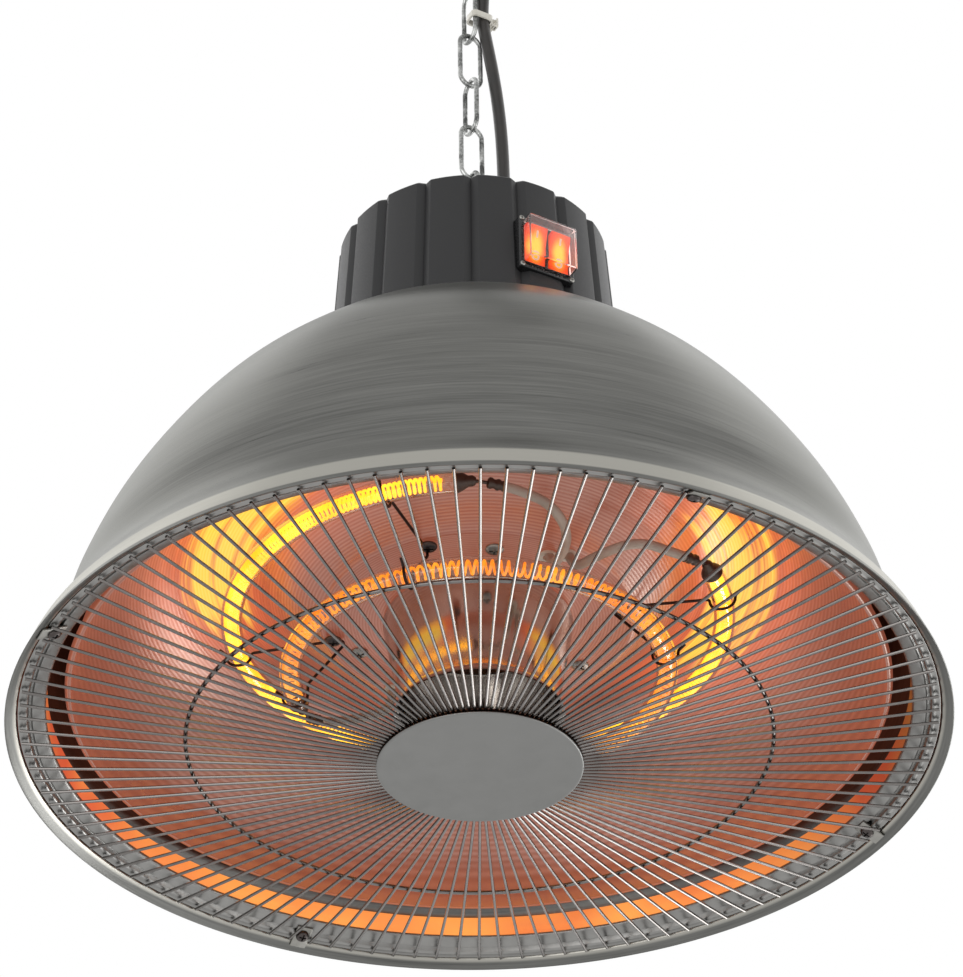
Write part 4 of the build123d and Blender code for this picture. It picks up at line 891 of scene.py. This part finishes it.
def spoke_level(radius):
    """The height of a spoke's middle line at a radius."""
    (outer, high), (inner, low) = spoke_start, spoke_end
    return high + (low - high) * (outer - radius) / (outer - inner)


spoke = wire(wire_finish, spoke_radius, [polar(0, *spoke_start), polar(0, 200.0, spoke_level(200.0)),
                                         polar(0, *spoke_end)], sides=8, steps=1)
piece("guard_wires", around(wire_finish, spoke, spoke_count, clip_azimuth + 1.5), "guard_steel", "guard_spokes")
hoop_level = spoke_level(hoop_place) + spoke_radius + hoop_radius + 0.05
piece("guard_hoop", spun(circled(hoop_radius, range(0, 360, 36), hoop_place, hoop_level), 200), "guard_steel",
      "guard_mid_ring", finish=wire_finish)


def frame_band():
    """The guard's rolled band, which the wires are welded under."""
    under = [(206.8, 2.1), (206.3, 2.05), (205.0, 2.6), (204.2, 2.3), (203.2, 2.5), (202.5, 3.2), (202.3, 5.2),
             (201.5, 5.6), (200.7, 5.2), (200.5, 4.5), (199.6, 4.6), (197.0, 5.7), (195.6, 6.1), (194.8, 6.7),
             (band_inner_radius, 7.4)]
    over = [(band_inner_radius, 8.0), (195.4, 7.7), (197.2, 6.6), (199.6, 5.5), (200.2, 6.0), (201.5, 6.4),
            (202.8, 6.0), (203.1, 3.9), (204.2, 3.3), (205.0, 3.4), (206.5, 2.85), (206.8, 2.7)]
    return spun(under + over, 256)


piece("guard_band", frame_band(), "polished_steel", "guard_frame_ring", finish=ring_finish, crease=60)
upstand = spun([(band_inner_radius, 7.9), (195.4, 7.6), (195.4, 17.8), (195.0, 18.0), (band_inner_radius, 17.8)], 256)
piece("guard_band_upstand", upstand, "polished_steel", "guard_frame_ring", finish=painted_glow_finish)


def hub_disc():
    """The pressed hub plate: faintly dished, with a rolled bright edge."""
    top = spoke_end[1] - spoke_radius - 0.1
    return spun([(0, top), (46.0, top), (46.5, top - 0.2), (46.6, top - 0.55), (46.4, top - 0.9), (45.9, top - 1.0),
                 (44.9, top - 0.85), (0, top - 0.85)], 160)


piece("hub_disc", hub_disc(), "hub_steel", "hub_plate", finish=hub_finish, crease=50)
back_level = spoke_level(44.0) + spoke_radius + 0.1
piece("hub_backing", moved(rod([(43.6, 0), (44.0, 0.3), (43.6, 1.0)], 120), 0, 0, back_level), "hub_steel",
      "hub_back_plate", finish=hub_finish)


def clip_places():
    """The matrix that lays a piece on a clip's screw at azimuth 0, and the clip's reach in and out from it."""
    inner = polar(0, 198.5, 2.0 + 5.0 * (206.8 - 198.5) / 12.2 - 0.1)
    outer = polar(0, 209.5, 3.5 * (212.5 - 209.5) / 4.9 - 2.1)
    along = (outer - inner).normalized()
    screw = inner + (outer - inner) * 4.5 / 11.0
    upward = Vector((0, along.z, -along.y))
    return (Matrix.Translation(screw) @ Matrix((along, upward.cross(along), upward)).transposed().to_4x4(),
            (screw - inner).length, (outer - screw).length)


clip_matrix, clip_in, clip_out = clip_places()
clip = softened(block((-clip_in, -4.0, -1.0), (clip_out, 4.0, 0)), 0.35)
clip_screw = moved(cross_screw(3.2, 2.0, 1.3, 7.0), 0, 0, -1.1)
for mesh in (clip, clip_screw):
    mesh.transform(clip_matrix)
piece("rim_clips", around(plate_finish, clip, 4, clip_azimuth), "plate_steel", "guard_clips")
piece("rim_clip_screws", around(screw_finish, clip_screw, 4, clip_azimuth), "plate_steel", "guard_clip_screws")

# Cap
cap_bottom, cap_top = 195.1, 283.9
cap_bottom_radius, cap_top_radius = 71.5, 66.3
cap_lobes, valley_depth, cap_roof = 18, 2.4, 2.6


def cap_side(height):
    """The cap's radius at a height."""
    return cap_bottom_radius + (cap_top_radius - cap_bottom_radius) * (height - cap_bottom) / (cap_top - cap_bottom)


def cap_lobe():
    """One lobe of the cap, a flat face with two shoulders, as a slice of its closed shell."""
    half = 180 / cap_lobes
    shoulder = [(1.0, 1.0), (0.985, 0.93), (0.72, 0.07), (0.69, 0.01), (0.62, 0.0), (0.3, 0.0)]
    columns = [(-half * turn, dip) for turn, dip in shoulder] + [(0, 0.0)]
    columns += [(half * turn, dip) for turn, dip in reversed(shoulder)]
    rows = [(66.0, cap_bottom, 0.0), (71.0, cap_bottom, 1.0)]
    rows += [(cap_side(height), height, 1.0) for height in (cap_bottom + 0.5, 215.0, 236.0, 258.0, cap_top - 4.6)]
    rows += [(cap_top_radius - 0.3, cap_top - 3.8, 1.0), (64.4, cap_top - 2.4, 0.95), (61.2, cap_top - 0.4, 0.8),
             (60.0, cap_top, 0.3), (40.0, cap_top, 0.0), (0, cap_top, 0.0), (0, cap_top - cap_roof, 0.0),
             (61.0, cap_top - cap_roof, 0.0), (66.4, cap_bottom + 0.6, 0.0)]
    return lofted([[polar(turn, radius - valley_depth * dip * lobed, height) for turn, dip in columns]
                   for radius, height, lobed in rows], closed=False)


def cap():
    """The lobes closed into the cap, with the switch's window."""
    bm = bmesh.new()
    bm.from_mesh(around(cap_finish, cap_lobe(), cap_lobes, seam=0.02))
    bmesh.ops.recalc_face_normals(bm, faces=bm.faces)
    return carved(as_mesh(bm), block((-14.8, -80.0, switch_level - 15.6), (14.8, -55.0, switch_level + 15.6)))


piece("cap_shell", cap(), "black_plastic", "cap", finish=cap_finish, crease=14)

# Switch
front = -cap_side(switch_level) - 2.3
cover_back = front - 0.1
rocker_aside, rocker_lean = 6.425, math.radians(9.0)


def switch_block(half_width, back, ahead, half_height):
    """A box about the switch's middle, between two places in front of the axis."""
    return block((-half_width, ahead, switch_level - half_height), (half_width, back, switch_level + half_height))


def bezel():
    """The switch's frame: soft corners, two pockets and a raised inner edge."""
    pocket = switch_block(5.825, front + 11, front - 1, 11.6)
    return carved(softened(switch_block(14.75, front + 10.0, front, 15.5), 0.9, 3),
                  *[moved(pocket, side * rocker_aside, 0, 0) for side in (1, -1)])


def bezel_fixings():
    """Four small screws that hold the cover's frame, at the bezel's corners."""
    screw = cross_screw(1.3, 0.7, 0.6, 1.5)
    screw.transform(Matrix.Rotation(math.radians(-90), 4, "X"))
    return merged(*[moved(screw, x, front, switch_level + z) for x in (-13.4, 13.4) for z in (-14.1, 14.1)])


piece("switch_frame", bezel(), "black_gloss", "switch_bezel", finish=gloss_finish, crease=35)
piece("switch_fixings", bezel_fixings(), "plate_steel", finish=plate_finish)
cover = carved(softened(switch_block(13.0, cover_back, cover_back - 7.0, 12.75), 1.2, 3),
               softened(switch_block(12.1, cover_back + 5, cover_back - 6.1, 11.85), 0.6))
piece("switch_hood", cover, "clear_cover", "switch_cover", finish=cover_finish)


def rocker(side):
    """A pressed-in key with its marks: a bar on its upper half and a ring on its lower half."""
    dip, half, width = 3.6, 10.5, 11.05
    edge = dip + half * math.tan(rocker_lean)
    outline = [(-dip, 0), (-edge, half), (-1.8, half - 0.9), (2.4, 2.5), (2.4, -2.5), (-1.8, -half + 0.9),
               (-edge, -half)]
    key = prism(outline, -width / 2, width / 2)
    key.transform(Matrix(((0, 0, 1, 0), (1, 0, 0, 0), (0, 1, 0, 0), (0, 0, 0, 1))))
    key = softened(key, 0.45, 2, 12)
    bar = block((-0.5, -0.12, -1.9), (0.5, 0.12, 1.9))
    ring = spun([(1.2, -0.12), (2.1, -0.12), (2.1, 0.12), (1.2, 0.12)], 28)
    ring.transform(Matrix.Rotation(math.radians(90), 4, "X"))
    for mark, height in ((bar, half * 0.55), (ring, -half * 0.55)):
        mark.transform(Matrix.Translation((0, -dip - abs(height) * math.tan(rocker_lean), height))
                       @ Matrix.Rotation(math.copysign(rocker_lean, height), 4, "X"))
    mesh = merged(key, bar, ring)
    for index, face in enumerate(mesh.polygons):
        face.material_index = 0 if index < len(key.polygons) else 1
    mesh.materials.append(key_finish)
    mesh.materials.append(mark_finish)
    mesh.transform(Matrix.Translation((side * rocker_aside, front + dip, switch_level))
                   @ Matrix.Rotation(rocker_lean, 4, "X"))
    return mesh


for word, side in (("left", -1), ("right", 1)):
    piece(f"key_{word}", rocker(side), "red_rocker", f"rocker_{word}", crease=30, body=f"rocker_{word}")

# Eye, nuts and gland on the cap
eye_height, eye_radius = 297.6, 9.0
eye_line = [(across, 0, up) for across, up in circled(eye_radius, range(-90, 270, 10), 0, eye_height)]
eye = merged(wire(zinc_finish, 2.0, eye_line, closed=True, sides=14),
             moved(rod([(2.6, 0), (3.0, 0.4), (3.0, 101.0), (2.2, 102.6)], 24), 0, 0, 187.0))
piece("eye_forged", eye, "zinc_hook", "eye_bolt", finish=zinc_finish, crease=50)


def hex_nut(flats, height, bore):
    """A chamfered hexagon nut with its bore, from height 0."""
    body = softened(prism(circled(flats / math.sqrt(3), range(30, 390, 60)), 0, height), min(0.4, height / 6))
    return carved(body, rod([(bore, -1), (bore, height + 1)], 28)) if bore else body


piece("eye_nut_pair", merged(moved(hex_nut(10.0, 2.5, 3.05), 0, 0, cap_top + 0.05),
                             moved(hex_nut(10.0, 5.0, 3.05), 0, 0, 188.9)),
      "zinc_hook", "eye_nuts", finish=zinc_finish)


def gland():
    """A hexagon foot under a ribbed dome nut."""
    dome = spun([(0, 0), (6.0, 0), (6.0, 7.4), (6.3, 7.6), (6.3, 12.6), (5.9, 13.6), (4.6, 16.0), (3.4, 16.0),
                 (0, 15.9)], 40)
    rib = softened(block((-0.45, -6.65, 7.8), (0.45, -5.8, 12.8)), 0.15, 1)
    return moved(merged(hex_nut(14.0, 5.0, 0), dome, around(cap_finish, rib, 14)), gland_place, 0, cap_top + 0.1)


gland_piece = piece("gland_nut", gland(), "black_plastic", "cord_gland", finish=cap_finish, crease=35)


def strain_relief():
    """A tapered, ringed sleeve that eases the cord out of the gland."""
    outline = [(3.3, 0), (4.5, 0)]
    height, radius = 1.5, 4.45
    for _ in range(6):
        outline += [(radius, height), (radius, height + 1.9), (radius - 0.5, height + 2.2),
                    (radius - 0.5, height + 3.1)]
        height += 3.4
        radius -= 0.1
    outline += [(3.7, height), (3.45, height + 1.6), (3.3, height + 1.6)]
    return moved(spun(outline, 32), gland_place, 0, cord_exit)


relief = piece("cord_relief", strain_relief(), "cord_rubber", finish=cord_finish, crease=35)

# Chain
link_wire, link_pitch, link_bend = 1.25, 32.0, 5.99
link_length, link_width = 37.3 - 2 * link_wire, 14.5 - 2 * link_wire
first_bottom = 301.8


def links(count, first):
    """A run of links: the odd ones stand in the YZ plane, the even ones in the XZ plane."""
    return grown(chain_run, zinc_finish, links=count, bottom=first_bottom + link_wire + (first - 1) * link_pitch,
                 turned=float(first % 2), pitch=link_pitch, length=link_length, width=link_width, bend=link_bend,
                 radius=link_wire)


piece("chain_lower", links(8, 1), "zinc_chain", *[f"chain_link_{index}" for index in range(1, 9)])
piece("chain_upper_9", links(1, 9), "zinc_chain", "chain_link_9", body="link_second")
piece("chain_upper_10", links(1, 10), "zinc_chain", "chain_link_10", body="link_top")

# Snap hook
hook_bottom, hook_bend, hook_wire_radius = 619.3, 9.5, 2.5
pivot_height, nose_height = 637.3, 664.9


def hook_wire():
    """The hook's bent bar: from the gate's pivot, round the foot and the bow, to the nose."""
    foot = circled(hook_bend, range(0, -181, -12), 0, hook_bottom + 12.0)
    bow = circled(hook_bend, range(180, -1, -12), 0, hook_bottom + 48.0)
    line = [(0, *place) for place in [(hook_bend, pivot_height)] + foot + bow + [(hook_bend, nose_height)]]
    ball = spun([(0, -2.5), (1.25, -2.17), (2.17, -1.25), (2.5, 0), (2.17, 1.25), (1.25, 2.17), (0, 2.5)], 20)
    return merged(wire(zinc_finish, hook_wire_radius, line, sides=16), moved(ball, 0, hook_bend, pivot_height))


def gate():
    """The gate's bar with two ears on the pin."""
    root = pivot_height + 2.8
    bar = moved(rod([(1.8, 0), (2.2, 0.4), (2.2, 23.9), (1.7, 24.5)]), 0, hook_bend, root)
    ears = [softened(block((low, hook_bend - 2.2, pivot_height - 2.2), (low + 0.9, hook_bend + 2.2, root + 4.5)), 0.3)
            for low in (-3.7, 2.8)]
    yoke = softened(block((-3.7, hook_bend - 1.15, root + 2.3), (3.7, hook_bend + 1.15, root + 4.6)), 0.3)
    return merged(bar, yoke, *ears)


pin = rod([(1.6, -4.0), (1.8, -3.9), (1.1, -3.7), (1.1, 3.7), (1.8, 3.9), (1.6, 4.0)])
pin.transform(Matrix.Translation((0, hook_bend, pivot_height)) @ Matrix.Rotation(math.radians(90), 4, "Y"))
piece("hook_bar", hook_wire(), "zinc_hook", "snap_hook", finish=zinc_finish, crease=50, body="hook")
piece("hook_pin", pin, "zinc_hook", "gate_pin", finish=zinc_finish, body="hook")
piece("gate_bar", gate(), "zinc_hook", "hook_gate", finish=zinc_finish, body="hook_gate")

# Plug at the cord's far end
plug_start = Vector(tail_route[-1])
plug_heading = (plug_start - Vector(tail_route[-2])).normalized()
plug_length, prong_place = 46.0, 9.5


def plug_body():
    """A round two-pin plug: ringed neck, waisted grip and a flat face."""
    outline = [(3.6, 0)]
    for ring in range(4):
        level, radius = 0.6 + ring * 3.4, 4.6 + ring * 0.3
        outline += [(radius, level), (radius, level + 2.0), (radius - 0.5, level + 2.3), (radius - 0.5, level + 3.1)]
    outline += [(9.5, 15.5), (9.9, 17.0), (9.4, 22.0), (9.6, 28.0), (11.0, 32.0), (16.0, 33.5), (17.2, 34.6),
                (17.5, 35.6), (17.5, 44.5), (17.0, 45.6), (16.0, plug_length)]
    return towards(rod(outline, 48), plug_start, plug_heading)


def plug_prongs():
    """Two round pins with rounded tips."""
    prong = rod([(2.4, plug_length), (2.4, 63.4), (2.1, 64.4), (1.2, 65.0)])
    return towards(merged(*[moved(prong, side * prong_place, 0, 0) for side in (1, -1)]), plug_start, plug_heading)


plug = piece("plug_moulded", plug_body(), "black_gloss", "plug", finish=gloss_finish, crease=35)
prongs = piece("plug_prongs", plug_prongs(), "pin_brass", "plug_pins", finish=brass_finish)


# Nylon ties
def bent_loop(low, high, radius, steps=5):
    """A rectangle's outline with round corners, between its lowest and highest corners."""
    (left, near), (right, far) = low, high
    line = []
    for x, y, start in ((right - radius, far - radius, 0), (left + radius, far - radius, 90),
                        (left + radius, near + radius, 180), (right - radius, near + radius, 270)):
        line += circled(radius, [start + 90 * step / steps for step in range(steps + 1)], x, y)
    return line


def tie(low, high, height, name):
    """A toothed nylon band round a bundle, with its lock block and clipped tail."""
    wall, width, corner = 1.0, 3.6, 1.5
    inside = bent_loop(low, high, corner)
    outside = bent_loop([place - wall for place in low], [place + wall for place in high], corner + wall)
    band = lofted([[(x, y, height + level) for x, y in line]
                   for line, level in ((outside, -width / 2), (outside, width / 2), (inside, width / 2),
                                       (inside, -width / 2))])
    across, middle = high[0] + wall + 2.4, (low[1] + high[1]) / 2

    def lock(x_low, x_high, reach, rise):
        return block((across + x_low, middle - reach, height - rise), (across + x_high, middle + reach, height + rise))

    head = carved(softened(lock(-2.5, 1.7, 2.2, 2.1), 0.5), lock(-1.4, 0.8, 1.4, 5))
    tail = softened(lock(-0.6, 0.4, 4.2, 1.7), 0.15, 1)
    piece(name, merged(band, head, tail), "white_nylon", name.replace("band", "cable_tie"), finish=nylon_finish,
          crease=30)


tie((-1.5, -7.5), (9.05, -0.15), 444.5, "band_lower")
tie((-1.5, -42.25), (14.9, -4.5), 516.2, "band_upper")

# The cord's own calls
cord.data.materials.append(cord_finish)
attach(cord, "heater")
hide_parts("power_cord", "cord_coil", "cord_tail")

# Hidden CAD parts that stay
for node, finish in {"cap_base_plate": plate_finish, "cap_screws": screw_finish, "terminal_block": block_finish,
                     "switch_body": cap_finish}.items():
    keep(node, finish)


# Stage and light
def pale_floor():
    # Matt pale studio floor, lifted towards white for the camera and white to metal and glass; its shadow stays
    made, tree, shader, _, output = surface("pale_floor", Base_Color=linear("#F0EFED"), Roughness=0.9)
    path = add(tree, "ShaderNodeLightPath").outputs
    mirrored = add(tree, "ShaderNodeMath", {0: path["Is Glossy Ray"], 1: path["Is Transmission Ray"]},
                   operation="MAXIMUM")
    seen = add(tree, "ShaderNodeMath", {0: path["Is Camera Ray"], 1: 0.6, 2: mirrored}, operation="MULTIPLY_ADD")
    white = add(tree, "ShaderNodeEmission", {"Color": linear("#FFFFFF"), "Strength": 1.0})
    feed(output, {"Surface": add(tree, "ShaderNodeMixShader", {0: seen, 1: shader, 2: white})})
    return made


def set_stage():
    """A plain pale floor, well under the heater."""
    floor_level, floor_size = -1.95, 30.0
    bm = bmesh.new()
    bmesh.ops.create_grid(bm, x_segments=1, y_segments=1, size=floor_size)
    mesh = as_mesh(bm)
    mesh.transform(Matrix.Translation((0, 0, floor_level)))
    floor = bpy.data.objects.new("studio_floor", mesh)
    scene.collection.objects.link(floor)
    mesh.materials.append(pale_floor())


def set_lamp(name, place, aim_level, size, power):
    """A soft square lamp aimed at a level on the axis."""
    data = bpy.data.lights.new(name, "AREA")
    data.shape = "SQUARE"
    data.size = size
    data.energy = power
    lamp = bpy.data.objects.new(name, data)
    spot, aim = Vector(place), Vector((0, 0, aim_level))
    lamp.matrix_world = Matrix.Translation(spot) @ (aim - spot).to_track_quat("-Z", "Y").to_matrix().to_4x4()
    scene.collection.objects.link(lamp)


def set_world():
    """A white studio: white to the camera, to metal and to glass, and a plain level of fill on the object."""
    world = bpy.data.worlds.new("white_studio")
    world.use_nodes = True
    tree = world.node_tree
    tree.nodes.clear()
    path = add(tree, "ShaderNodeLightPath").outputs
    direct = add(tree, "ShaderNodeMath", {0: path["Is Camera Ray"], 1: path["Is Glossy Ray"]}, operation="MAXIMUM")
    seen = add(tree, "ShaderNodeMath", {0: direct, 1: path["Is Transmission Ray"]}, operation="MAXIMUM")
    fill, white = [add(tree, "ShaderNodeBackground", {"Color": linear("#FFFFFF"), "Strength": strength})
                   for strength in (0.5, 1.0)]
    add(tree, "ShaderNodeOutputWorld", {
        "Surface": add(tree, "ShaderNodeMixShader", {0: seen, 1: fill, 2: white})})
    scene.world = world


set_stage()
set_world()
set_lamp("left_softbox", (-1.8, -1.0, -1.0), -0.55, 1.8, 17)
set_lamp("right_softbox", (1.7, -1.4, -1.0), -0.55, 1.8, 17)
set_lamp("back_left_softbox", (-0.46, 0.99, 0.59), -0.58, 1.0, 3.3)
set_lamp("back_right_softbox", (1.10, 0.19, 0.57), -0.58, 1.0, 3.3)
set_lamp("low_right_softbox", (1.26, 0.54, -1.44), -0.62, 0.5, 6)
scene.view_settings.view_transform = "Standard"
